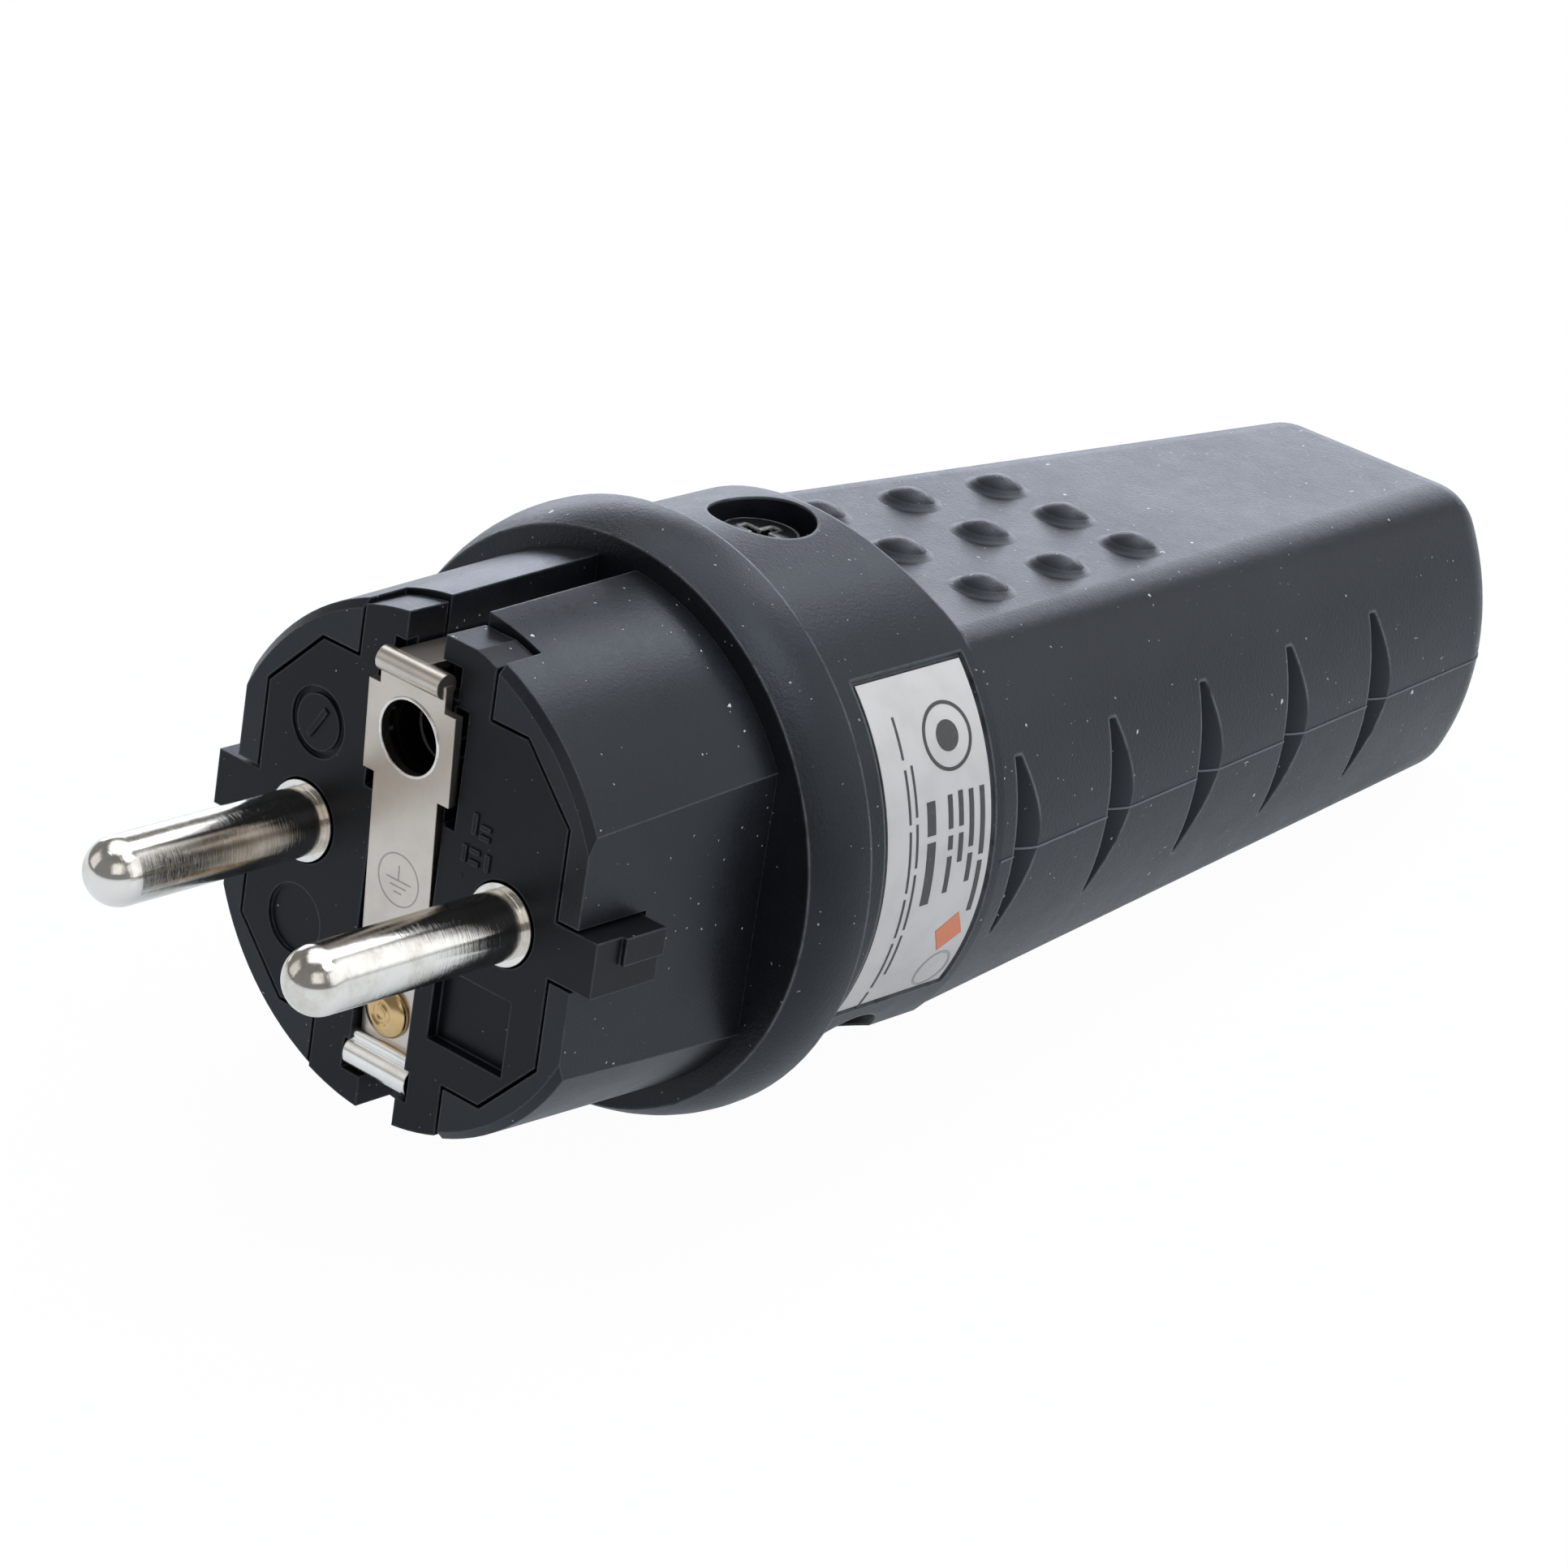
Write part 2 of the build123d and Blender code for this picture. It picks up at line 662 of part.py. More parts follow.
def make_pieces():
    """Every piece by its node name, in the plug's own axes."""
    pieces = {
        "grip_housing": make_housing(),
        "front_shell": make_shell(),
        "contact_carrier": make_carrier(),
        "earth_strip": make_earth_strip(),
        "earth_pin_contact": make_sleeve(),
        "earth_rivet": make_rivet(),
        "earth_terminal": make_earth_terminal(),
        "earth_terminal_screw": make_terminal_screw(0, -earth_offset + earth_head_height / 2),
        "clamp_bar": make_clamp_bar(),
        "rating_label": make_label(),
    }
    for name, side in (("left", -1), ("right", 1)):
        pieces["pin_" + name] = make_pin(side * pin_x)
        pieces["terminal_screw_" + name] = make_terminal_screw(side * pin_x, head_height / 2)
        pieces["clamp_screw_" + name] = make_clamp_screw(side * clamp_screw_x)
    for name, place in housing_screw_places.items():
        pieces["housing_screw_" + name] = make_housing_screw(place)
    return pieces


def lie_down(pieces):
    """Pieces turned as the plug rests on flange and heel, with the origin under the middle of their box."""
    heel_y = grip_end - end_edge_round
    drop = flange_radius - lower_panel_height(heel_y)
    tilt = degrees(atan2(drop, heel_y - flange_end))
    turned_pieces = {name: Rot(-tilt, 0, 0) * piece for name, piece in pieces.items()}
    box = Compound(list(turned_pieces.values())).bounding_box()
    shift = Pos(-box.center().X, -box.center().Y, -box.min.Z)
    print("rest tilt", round(tilt, 4), "shift", shift.position)
    return {name: shift * piece for name, piece in turned_pieces.items()}


os.makedirs("parts", exist_ok=True)
for node, solid in lie_down(make_pieces()).items():
    export_step(solid, "parts/" + node + ".step")
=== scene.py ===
"""Looks of an earthed mains plug with a moulded rubber grip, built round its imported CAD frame."""

import json
import logging
import math
from dataclasses import dataclass, replace
from enum import Enum
from functools import lru_cache
from typing import Any, Dict, Iterable, List, Optional, Sequence, Tuple, Union

import bmesh
import bpy
from mathutils import Matrix, Vector
from mathutils.bvhtree import BVHTree


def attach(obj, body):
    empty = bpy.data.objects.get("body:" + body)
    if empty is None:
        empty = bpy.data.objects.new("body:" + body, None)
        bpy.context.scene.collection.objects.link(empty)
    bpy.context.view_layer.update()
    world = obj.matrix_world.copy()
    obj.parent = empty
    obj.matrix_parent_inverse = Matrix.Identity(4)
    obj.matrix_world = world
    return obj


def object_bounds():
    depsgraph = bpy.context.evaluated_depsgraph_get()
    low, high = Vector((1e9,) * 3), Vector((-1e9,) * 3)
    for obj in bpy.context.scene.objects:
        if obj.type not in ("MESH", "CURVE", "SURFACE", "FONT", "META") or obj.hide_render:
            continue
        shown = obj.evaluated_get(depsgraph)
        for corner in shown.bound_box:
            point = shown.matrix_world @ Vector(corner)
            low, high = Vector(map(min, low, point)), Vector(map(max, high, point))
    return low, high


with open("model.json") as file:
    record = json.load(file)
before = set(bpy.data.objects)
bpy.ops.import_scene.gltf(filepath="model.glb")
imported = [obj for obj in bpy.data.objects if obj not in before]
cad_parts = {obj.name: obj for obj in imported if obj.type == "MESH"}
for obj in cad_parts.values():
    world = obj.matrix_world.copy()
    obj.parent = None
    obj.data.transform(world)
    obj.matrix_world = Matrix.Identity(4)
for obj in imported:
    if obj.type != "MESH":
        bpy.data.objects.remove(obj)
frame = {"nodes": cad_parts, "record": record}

log = logging.getLogger("plug")

Colour = Tuple[float, float, float]
Pair = Tuple[float, float]
Outline = Tuple[Pair, ...]
Key = Union[int, str]
Mesh = bmesh.types.BMesh
Vert = bmesh.types.BMVert
Edge = bmesh.types.BMEdge
Face = bmesh.types.BMFace

MM = 0.001
BODY = "root"
WHITE = (1.0, 1.0, 1.0)
POLE_WELD = 1e-4
UPRIGHT = Matrix.Rotation(math.radians(90), 3, "X")
CAD_BOX = [list(corner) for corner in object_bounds()]


def rgba(colour: Colour) -> Tuple[float, float, float, float]:
    """Colour with full opacity."""
    return (*colour, 1.0)


@dataclass(frozen=True)
class PlugAxes:
    """The plug's own axes: X right when facing the pins, Y from the face to the cable, Z up.

    The matrix takes plug millimetres to the row's metres.
    """

    matrix: Matrix

    @classmethod
    def from_record(cls, record: Dict[str, Any], pin_proud: float = 0.4) -> "PlugAxes":
        """Reads the axes off the two pin mounts.

        Args:
            record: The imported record.
            pin_proud: Millimetres from the face to the inner end of a pin mount.

        Returns:
            The axes of the plug as it lies.
        """
        mounts = {mount["name"]: mount for mount in record["mounts"]}
        left = Vector(mounts["left_pin"]["pos_m"])
        right = Vector(mounts["right_pin"]["pos_m"])
        rear = -Vector(mounts["left_pin"]["axis"]).normalized()
        across = (right - left).normalized()
        up = across.cross(rear)
        reach = mounts["left_pin"]["dims"]["length_mm"] / 2 + pin_proud
        origin = (left + right) / 2 + rear * reach * MM
        turn = Matrix((across, rear, up)).transposed().to_4x4()
        return cls(Matrix.Translation(origin) @ turn @ Matrix.Scale(MM, 4))

    @property
    def turn(self) -> Matrix:
        """Rotation from plug axes to the row frame."""
        return self.matrix.to_3x3().normalized()

    def place(self, mesh: Mesh) -> None:
        """Takes a mesh from plug millimetres to its place in the row frame."""
        bmesh.ops.transform(mesh, matrix=self.matrix, verts=mesh.verts)


AXES = PlugAxes.from_record(frame["record"])


class Flow:
    """A shader socket that takes part in Python expressions."""

    def __init__(self, graph: "Graph", socket: bpy.types.NodeSocket) -> None:
        """Wraps an output socket of a graph."""
        self.graph = graph
        self.socket = socket

    def _math(self, operation: str, *values: Union["Flow", float]) -> "Flow":
        """Adds a Math node on the given values."""
        return self.graph.node("ShaderNodeMath", {"operation": operation}, dict(enumerate(values)))

    def __add__(self, other: Union["Flow", float]) -> "Flow":
        """Sum."""
        return self._math("ADD", self, other)

    def __radd__(self, other: float) -> "Flow":
        """Sum with a number on the left."""
        return self._math("ADD", other, self)

    def __sub__(self, other: Union["Flow", float]) -> "Flow":
        """Difference."""
        return self._math("SUBTRACT", self, other)

    def __rsub__(self, other: float) -> "Flow":
        """Difference with a number on the left."""
        return self._math("SUBTRACT", other, self)

    def __mul__(self, other: Union["Flow", float]) -> "Flow":
        """Product."""
        return self._math("MULTIPLY", self, other)

    def __rmul__(self, other: float) -> "Flow":
        """Product with a number on the left."""
        return self._math("MULTIPLY", other, self)

    def __lt__(self, other: Union["Flow", float]) -> "Flow":
        """One where the value is below the other."""
        return self._math("LESS_THAN", self, other)

    def __gt__(self, other: Union["Flow", float]) -> "Flow":
        """One where the value is above the other."""
        return self._math("GREATER_THAN", self, other)

    def clamped(self) -> "Flow":
        """The value held between 0 and 1."""
        return self.graph.node("ShaderNodeClamp", {}, {0: self})

    def smooth(self, low: float, high: float) -> "Flow":
        """Soft step from 0 at low to 1 at high, or the other way round.

        Args:
            low: Value at which the result is 0.
            high: Value at which the result is 1.

        Returns:
            The step.
        """
        start, end, first, last = (low, high, 0.0, 1.0) if low < high else (high, low, 1.0, 0.0)
        return self.graph.node(
            "ShaderNodeMapRange",
            {"interpolation_type": "SMOOTHSTEP"},
            {0: self, 1: start, 2: end, 3: first, 4: last},
        )

    def out(self, name: Key) -> "Flow":
        """Another output of the same node."""
        return Flow(self.graph, self.socket.node.outputs[name])


class Graph:
    """A material's or world's node tree, built by expression."""

    def __init__(self, owner: Union[bpy.types.Material, bpy.types.World]) -> None:
        """Starts an empty tree on the owner."""
        owner.use_nodes = True
        self.owner = owner
        self.tree = owner.node_tree
        self.tree.nodes.clear()

    @classmethod
    def material(cls, name: str) -> "Graph":
        """A new material's graph."""
        return cls(bpy.data.materials.new(name))

    def node(
        self,
        kind: str,
        settings: Optional[Dict[str, Any]] = None,
        inputs: Optional[Dict[Key, Any]] = None,
        output: Key = 0,
    ) -> Flow:
        """Adds a node.

        Args:
            kind: The node's type.
            settings: Its properties, which are set first.
            inputs: Numbers, colours or flows by socket.
            output: The socket that the result wraps.

        Returns:
            The chosen output.
        """
        node = self.tree.nodes.new(kind)
        for name, value in (settings or {}).items():
            setattr(node, name, value)
        for key, value in (inputs or {}).items():
            if isinstance(value, Flow):
                self.tree.links.new(value.socket, node.inputs[key])
            else:
                node.inputs[key].default_value = value
        return Flow(self, node.outputs[output])

    def plug_mm(self) -> Flow:
        """Surface point in plug millimetres."""
        inverse = AXES.matrix.inverted()
        shift, turn, scale = inverse.decompose()
        point = self.node("ShaderNodeTexCoord", output="Object")
        return self.node(
            "ShaderNodeMapping",
            {"vector_type": "POINT"},
            {"Vector": point, "Location": shift, "Rotation": turn.to_euler(), "Scale": scale},
        )

    def scaled(self, point: Flow, scale: Sequence[float]) -> Flow:
        """Point with each axis scaled."""
        inputs = {"Vector": point, "Scale": scale}
        return self.node("ShaderNodeMapping", {"vector_type": "POINT"}, inputs)

    def axis(self, point: Flow, name: str) -> Flow:
        """One coordinate of a point."""
        return self.node("ShaderNodeSeparateXYZ", {}, {0: point}, output=name)

    def noise(self, point: Flow, per_mm: float, detail: float = 3.0, rough: float = 0.55) -> Flow:
        """Cloudy noise around 0.5.

        Args:
            point: Coordinates in millimetres.
            per_mm: Clouds per millimetre.
            detail: Octaves.
            rough: Share kept by each octave.

        Returns:
            The noise value.
        """
        return self.node(
            "ShaderNodeTexNoise",
            {"noise_dimensions": "3D"},
            {"Vector": point, "Scale": per_mm, "Detail": detail, "Roughness": rough},
        )

    def specks(self, point: Flow, kind: "Specks", crowd: Union[Flow, float] = 1.0) -> Flow:
        """Sparse specks, such as dust.

        Args:
            point: Coordinates in millimetres.
            kind: Size and number of the specks.
            crowd: Part of their number that is there, from 0 to 1.

        Returns:
            One on a speck and 0 elsewhere.
        """
        near = self.node(
            "ShaderNodeTexVoronoi",
            {"voronoi_dimensions": "3D", "feature": "F1"},
            {"Vector": self.scaled(point, kind.stretch), "Scale": 1 / kind.cell},
        )
        chance = self.node("ShaderNodeSeparateColor", {}, {0: near.out("Color")})
        smallest = kind.smallest
        size = (chance.out(1) * (1 - smallest) + smallest) * (kind.radius / kind.cell)
        return (near < size) * (chance < crowd * kind.share)

    def mix(self, share: Union[Flow, float], first: Any, second: Any) -> Flow:
        """Colour between two others.

        Args:
            share: Zero for the first colour and 1 for the second.
            first: Colour or flow.
            second: Colour or flow.

        Returns:
            The mixed colour.
        """
        inputs = {0: share, 6: first, 7: second}
        return self.node("ShaderNodeMix", {"data_type": "RGBA"}, inputs, output=2)

    def rounded(self, radius: float) -> Flow:
        """Normal with the edges rounded to a radius in millimetres."""
        return self.node("ShaderNodeBevel", {"samples": 2}, {"Radius": radius * MM})

    def dot(self, first: Flow, second: Union[Flow, Vector]) -> Flow:
        """Dot product of two vectors."""
        pair = {0: first, 1: second}
        return self.node("ShaderNodeVectorMath", {"operation": "DOT_PRODUCT"}, pair, output="Value")

    def edges(self, rounded: Flow) -> Flow:
        """How far a rounded normal turns off the surface: 0 on a flat, near 1 on an edge."""
        return 1.0 - self.dot(rounded, self.node("ShaderNodeNewGeometry", output="Normal"))

    def facing(self, direction: Sequence[float]) -> Flow:
        """How far the surface faces a direction in plug axes: 1 straight at it, -1 away."""
        normal = self.node("ShaderNodeTexCoord", output="Normal")
        return self.dot(normal, AXES.turn @ Vector(direction))

    def ragged(self, point: Flow, per_mm: float, reach: float) -> Flow:
        """Point shaken by noise, so that shapes laid on it get ragged outlines.

        Args:
            point: Coordinates in millimetres.
            per_mm: Shakes per millimetre.
            reach: Millimetres that a point is moved.

        Returns:
            The moved point.
        """
        shake = self.noise(point, per_mm, detail=1.0).out("Color")
        inputs = {0: shake, 1: (reach, reach, reach), 2: point}
        return self.node("ShaderNodeVectorMath", {"operation": "MULTIPLY_ADD"}, inputs)

    def bump(self, height: Flow, depth: float, normal: Optional[Flow] = None) -> Flow:
        """Normal bent by a height.

        Args:
            height: Height from 0 to 1.
            depth: Depth in millimetres that 1 stands for.
            normal: Normal to start from.

        Returns:
            The bent normal.
        """
        inputs: Dict[Key, Any] = {"Height": height, "Strength": 1.0, "Distance": depth * MM}
        if normal is not None:
            inputs["Normal"] = normal
        return self.node("ShaderNodeBump", {}, inputs)

    def surface(self, inputs: Dict[Key, Any]) -> bpy.types.Material:
        """Closes the material with a principled shader.

        Args:
            inputs: The shader's inputs.

        Returns:
            The finished material.
        """
        self.close(self.node("ShaderNodeBsdfPrincipled", {}, inputs))
        return self.owner

    def close(self, shader: Flow) -> None:
        """Leads a shader to the tree's output."""
        kind = "World" if isinstance(self.owner, bpy.types.World) else "Material"
        node = self.tree.nodes.new("ShaderNodeOutput" + kind)
        self.tree.links.new(shader.socket, node.inputs["Surface"])


@dataclass(frozen=True)
class Specks:
    """A kind of dust: spacing and largest radius in millimetres, share of places with a speck."""

    cell: float
    radius: float
    share: float
    stretch: Tuple[float, float, float] = (1.0, 1.0, 1.0)
    smallest: float = 0.3


FINE_DUST = Specks(0.7, 0.085, 0.55)
COARSE_DUST = Specks(1.6, 0.19, 0.3)
FLUFF = Specks(1.4, 0.13, 0.12, (1.0, 0.35, 1.6))


@dataclass(frozen=True)
class MouldedFinish:
    """Black moulded rubber or plastic with haze, grain, edges lightened partly by wear and partly
    by a painted highlight, and dust.

    Colours are linear, lengths in millimetres. Faces that look forward are duller behind dull_from.
    """

    name: str
    base: Colour
    haze: Colour
    roughness: float
    specular: float
    tint: Colour = (0.86, 0.91, 1.0)
    grain: float = 0.035
    edge_round: float = 0.2
    edge_wear_and_highlight: float = 0.8
    edge_wear_and_highlight_colour: Colour = (0.15, 0.165, 0.19)
    dust: float = 0.9
    dust_colour: Colour = (0.55, 0.57, 0.6)
    dull_from: Optional[float] = None
    dull: float = 0.4
    cloud_per_mm: float = 0.07
    patch_per_mm: float = 0.45
    grain_per_mm: float = 4.0
    dust_ragged: Pair = (3.0, 0.3)

    def build(self) -> bpy.types.Material:
        """Makes the material.

        Returns:
            The material.
        """
        graph = Graph.material(self.name)
        point = graph.plug_mm()
        cloud = graph.noise(point, self.cloud_per_mm, detail=5.0, rough=0.6)
        patch = graph.noise(point, self.patch_per_mm, detail=4.0, rough=0.6)
        grain = graph.noise(point, self.grain_per_mm, detail=3.0, rough=0.7)
        rounded = graph.rounded(self.edge_round)
        haze = cloud.smooth(0.35, 0.72) * 0.65 + patch.smooth(0.45, 0.8) * 0.25
        haze = haze + (grain - 0.5) * 0.9
        colour = graph.mix(haze.clamped(), rgba(self.base), rgba(self.haze))
        # Rounded edges are lightened: partly wear, partly a painted highlight.
        wear_and_highlight = graph.edges(rounded).smooth(0.006, 0.08) * patch.smooth(0.2, 0.55) * self.edge_wear_and_highlight
        colour = graph.mix(wear_and_highlight, colour, rgba(self.edge_wear_and_highlight_colour))
        loose = graph.ragged(point, *self.dust_ragged)
        fine = graph.specks(loose, FINE_DUST, cloud.smooth(0.25, 0.7))
        coarse = graph.specks(loose, COARSE_DUST, patch.smooth(0.35, 0.7))
        fluff = graph.specks(loose, FLUFF)
        dust = (fine * 0.6 + coarse + fluff * 0.6).clamped() * self.dust
        colour = graph.mix(dust, colour, rgba(self.dust_colour))
        uneven = (cloud - 0.5) * 0.16 + (patch - 0.5) * 0.12 + (grain - 0.5) * 0.2
        rough = uneven + self.roughness
        if self.dull_from is not None:
            front = graph.facing((0.0, -1.0, 0.0)).smooth(0.08, 0.6)
            rough = rough + front * (graph.axis(point, "Y") > self.dull_from) * self.dull
        height = grain + patch * 0.3
        return graph.surface({
            "Base Color": colour,
            "Roughness": rough,
            "Specular IOR Level": self.specular,
            "Specular Tint": rgba(self.tint),
            "Normal": graph.bump(height, self.grain, rounded),
        })


class Marks(Enum):
    """Direction of the marks that the making left on a metal."""

    TURNED = (0.12, 9.0, 0.12)
    BRUSHED = (7.0, 0.4, 0.35)
    BARE = (1.2, 1.2, 1.2)


@dataclass(frozen=True)
class MetalFinish:
    """Plated or bare metal with making marks and tarnish, edges lightened partly by wear and partly
    by a painted glint, and an optional band of painted highlight.

    Colours are linear, lengths in millimetres.
    """

    name: str
    base: Colour
    tarnish: Colour
    roughness: float
    marks: Marks = Marks.BARE
    mark_depth: float = 0.004
    mark_share: float = 0.12
    metallic: float = 1.0
    edge_round: float = 0.12
    edge_wear_and_glint: float = 0.0
    highlight_colour: Colour = (0.9, 0.9, 0.88)
    painted_lit_band: Optional[Pair] = None

    def build(self) -> bpy.types.Material:
        """Makes the material.

        Returns:
            The material.
        """
        graph = Graph.material(self.name)
        point = graph.plug_mm()
        lines = graph.noise(graph.scaled(point, self.marks.value), 1.0, detail=4.0, rough=0.7)
        cloud = graph.noise(point, 0.35, detail=4.0, rough=0.6)
        colour = graph.mix(cloud.smooth(0.42, 0.75) * 0.7, rgba(self.base), rgba(self.tarnish))
        rounded = graph.rounded(self.edge_round)
        inputs: Dict[Key, Any] = {"Metallic": self.metallic}
        # Rounded edges are lightened towards near white: partly wear, partly a painted glint.
        if self.edge_wear_and_glint > 0:
            wear_and_highlight = graph.edges(rounded).smooth(0.015, 0.12) * cloud.smooth(0.3, 0.5)
            colour = graph.mix(wear_and_highlight * self.edge_wear_and_glint, colour, rgba(self.highlight_colour))
        # A band along Y in the light colour: a painted highlight.
        if self.painted_lit_band is not None:
            along = graph.axis(point, "Y")
            inside = (along > self.painted_lit_band[0]) * (along < self.painted_lit_band[1])
            colour = graph.mix(inside, colour, rgba(self.highlight_colour))
        inputs["Base Color"] = colour
        uneven = (lines - 0.5) * self.mark_share + (cloud - 0.5) * 0.12
        inputs["Roughness"] = uneven + self.roughness
        inputs["Normal"] = graph.bump(lines, self.mark_depth, rounded)
        return graph.surface(inputs)


@dataclass(frozen=True)
class FoilFinish:
    """Silver foil sticker with a faint roll grain."""

    name: str
    base: Colour
    shade: Colour
    roughness: float = 0.42
    metallic: float = 0.35

    def build(self) -> bpy.types.Material:
        """Makes the material.

        Returns:
            The material.
        """
        graph = Graph.material(self.name)
        point = graph.plug_mm()
        roll = graph.noise(graph.scaled(point, (0.5, 6.0, 0.5)), 1.0, detail=3.0)
        cloud = graph.noise(point, 0.3, detail=3.0)
        colour = graph.mix(cloud.smooth(0.35, 0.75), rgba(self.base), rgba(self.shade))
        return graph.surface({
            "Base Color": colour,
            "Metallic": self.metallic,
            "Roughness": (roll - 0.5) * 0.15 + self.roughness,
            "Normal": graph.bump(roll, 0.003),
        })


@dataclass(frozen=True)
class InkFinish:
    """Printing ink, a little uneven."""

    name: str
    base: Colour
    thin: Colour
    roughness: float = 0.5

    def build(self) -> bpy.types.Material:
        """Makes the material.

        Returns:
            The material.
        """
        graph = Graph.material(self.name)
        cover = graph.noise(graph.plug_mm(), 3.0, detail=3.0)
        colour = graph.mix(cover.smooth(0.5, 0.8) * 0.5, rgba(self.base), rgba(self.thin))
        rough = (cover - 0.5) * 0.2 + self.roughness
        return graph.surface({"Base Color": colour, "Roughness": rough})


Finish = Union[MouldedFinish, MetalFinish, FoilFinish, InkFinish]

# Its edges are lightened: partly wear, partly a painted highlight.
RUBBER = MouldedFinish(
    "grip_rubber", (0.006, 0.007, 0.009), (0.013, 0.015, 0.019), 0.34, 0.3,
    edge_round=0.34, edge_wear_and_highlight=1.0, edge_wear_and_highlight_colour=(0.26, 0.28, 0.31), dust=0.75, dull_from=38.5,
)
SOFT_RUBBER = replace(RUBBER, name="fillet_rubber", edge_round=0.05, edge_wear_and_highlight=0.0)
# Lighter copy of the rubber: a painted highlight along the parting line.
PARTING_HIGHLIGHT = MouldedFinish(
    "parting_rubber_painted_highlight", (0.09, 0.097, 0.11), (0.14, 0.15, 0.165), 0.55, 0.4, dust=0.2
)
SHELL = MouldedFinish(
    "shell_plastic", (0.006, 0.007, 0.009), (0.013, 0.015, 0.019), 0.33, 0.3, grain=0.018
)
INSERT = MouldedFinish(
    "insert_plastic", (0.004, 0.004, 0.005), (0.009, 0.010, 0.012), 0.36, 0.2, grain=0.012
)
NICKEL = MetalFinish(
    "pin_nickel", (0.77, 0.74, 0.69), (0.50, 0.44, 0.36), 0.09, Marks.TURNED,
    mark_depth=0.012, mark_share=0.12,
)
STRIP = MetalFinish(
    "strip_plate", (0.60, 0.54, 0.48), (0.52, 0.47, 0.42), 0.3, Marks.BRUSHED, mark_depth=0.003
)
# Lighter copy of the strip metal: a painted highlight on the hem and the hole's burr.
STRIP_HIGHLIGHT = MetalFinish("strip_painted_highlight", (0.86, 0.84, 0.80), (0.78, 0.75, 0.70), 0.22, Marks.BARE)
# Near-black copy of the contact metal: painted shade inside the earth-pin hole, with a thin band of
# painted highlight.
SHADED_SLEEVE = MetalFinish(
    "sleeve_painted_shade", (0.012, 0.011, 0.010), (0.020, 0.018, 0.016), 0.6, Marks.BARE,
    painted_lit_band=(2.55, 2.8),
)
ENGRAVED = MetalFinish("strip_engraving", (0.42, 0.40, 0.37), (0.36, 0.34, 0.31), 0.45, Marks.BARE)
BRASS = MetalFinish(
    "rivet_brass", (0.66, 0.46, 0.22), (0.42, 0.26, 0.10), 0.2, Marks.BARE, mark_depth=0.008
)
ZINC = MetalFinish("inner_steel", (0.62, 0.62, 0.60), (0.45, 0.45, 0.43), 0.36, Marks.BARE)
# Screw heads whose rounded edges turn near white: partly wear, partly painted glints.
BLACK_STEEL = MetalFinish(
    "screw_black", (0.008, 0.008, 0.009), (0.018, 0.018, 0.019), 0.2, Marks.BARE,
    metallic=0.5, edge_round=0.36, edge_wear_and_glint=1.0,
)
FOIL = FoilFinish("label_foil", (0.515, 0.50, 0.49), (0.455, 0.445, 0.435))
INK = InkFinish("label_ink", (0.035, 0.034, 0.034), (0.09, 0.09, 0.09))
GREY_INK = InkFinish("label_grey_ink", (0.30, 0.30, 0.31), (0.38, 0.38, 0.39))
ORANGE_INK = InkFinish("label_orange_ink", (0.56, 0.17, 0.075), (0.62, 0.26, 0.15))


@lru_cache(maxsize=None)
def material_of(finish: Finish) -> bpy.types.Material:
    """The finish's material, made once."""
    return finish.build()


def dress(nodes: Iterable[str], finish: Finish) -> None:
    """Gives CAD nodes a finish.

    Args:
        nodes: The nodes' names.
        finish: The finish.
    """
    material = material_of(finish)
    for name in nodes:
        mesh = frame["nodes"][name].data
        mesh.materials.clear()
        mesh.materials.append(material)
        log.info("dressed %s in %s", name, material.name)


def add_piece(name: str, mesh: Mesh, finish: Finish) -> bpy.types.Object:
    """Makes a finished mesh a piece of the plug.

    Args:
        name: The piece's name.
        mesh: Mesh in the row frame, freed here.
        finish: The piece's finish.

    Returns:
        The new object.
    """
    data = bpy.data.meshes.new(name)
    mesh.to_mesh(data)
    mesh.free()
    data.materials.append(material_of(finish))
    piece = bpy.data.objects.new(name, data)
    bpy.context.scene.collection.objects.link(piece)
    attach(piece, BODY)
    log.info("added %s with %d faces", name, len(data.polygons))
    return piece


class Surface:
    """A CAD node's surface in plug millimetres, to set things down on."""

    OUTSIDE = 40.0

    def __init__(self, node: str) -> None:
        """Takes the node's mesh to plug millimetres."""
        mesh = bmesh.new()
        mesh.from_mesh(frame["nodes"][node].data)
        bmesh.ops.transform(mesh, matrix=AXES.matrix.inverted(), verts=mesh.verts)
        self.tree = BVHTree.FromBMesh(mesh)
        mesh.free()

    def drop_on_face(self, mesh: Mesh, lift: float) -> None:
        """Moves a flat mesh, drawn in X and Z, back along Y on to the surface.

        Args:
            mesh: The mesh in plug millimetres.
            lift: Height above the surface, added along the surface's normal.
        """
        for vert in mesh.verts:
            start = Vector((vert.co.x, -self.OUTSIDE, vert.co.z))
            hit, normal, _, _ = self.tree.ray_cast(start, Vector((0, 1, 0)))
            if hit is not None:
                vert.co = hit + normal * lift

    def panel_point(self, x: float, y: float, side: float) -> Vector:
        """Outermost point at a place, seen from above (side 1) or from below (side -1)."""
        return self.tree.ray_cast(Vector((x, y, side * self.OUTSIDE)), Vector((0, 0, -side)))[0]


def soften(mesh: Mesh, soft: Iterable[Face]) -> None:
    """Shades faces smooth, and keeps the other faces flat and the edges round them sharp.

    Args:
        mesh: The mesh.
        soft: The faces that are shaded smooth.
    """
    chosen = set(soft)
    for face in mesh.faces:
        face.smooth = face in chosen
        for edge in face.edges:
            edge.smooth = edge.smooth and face.smooth


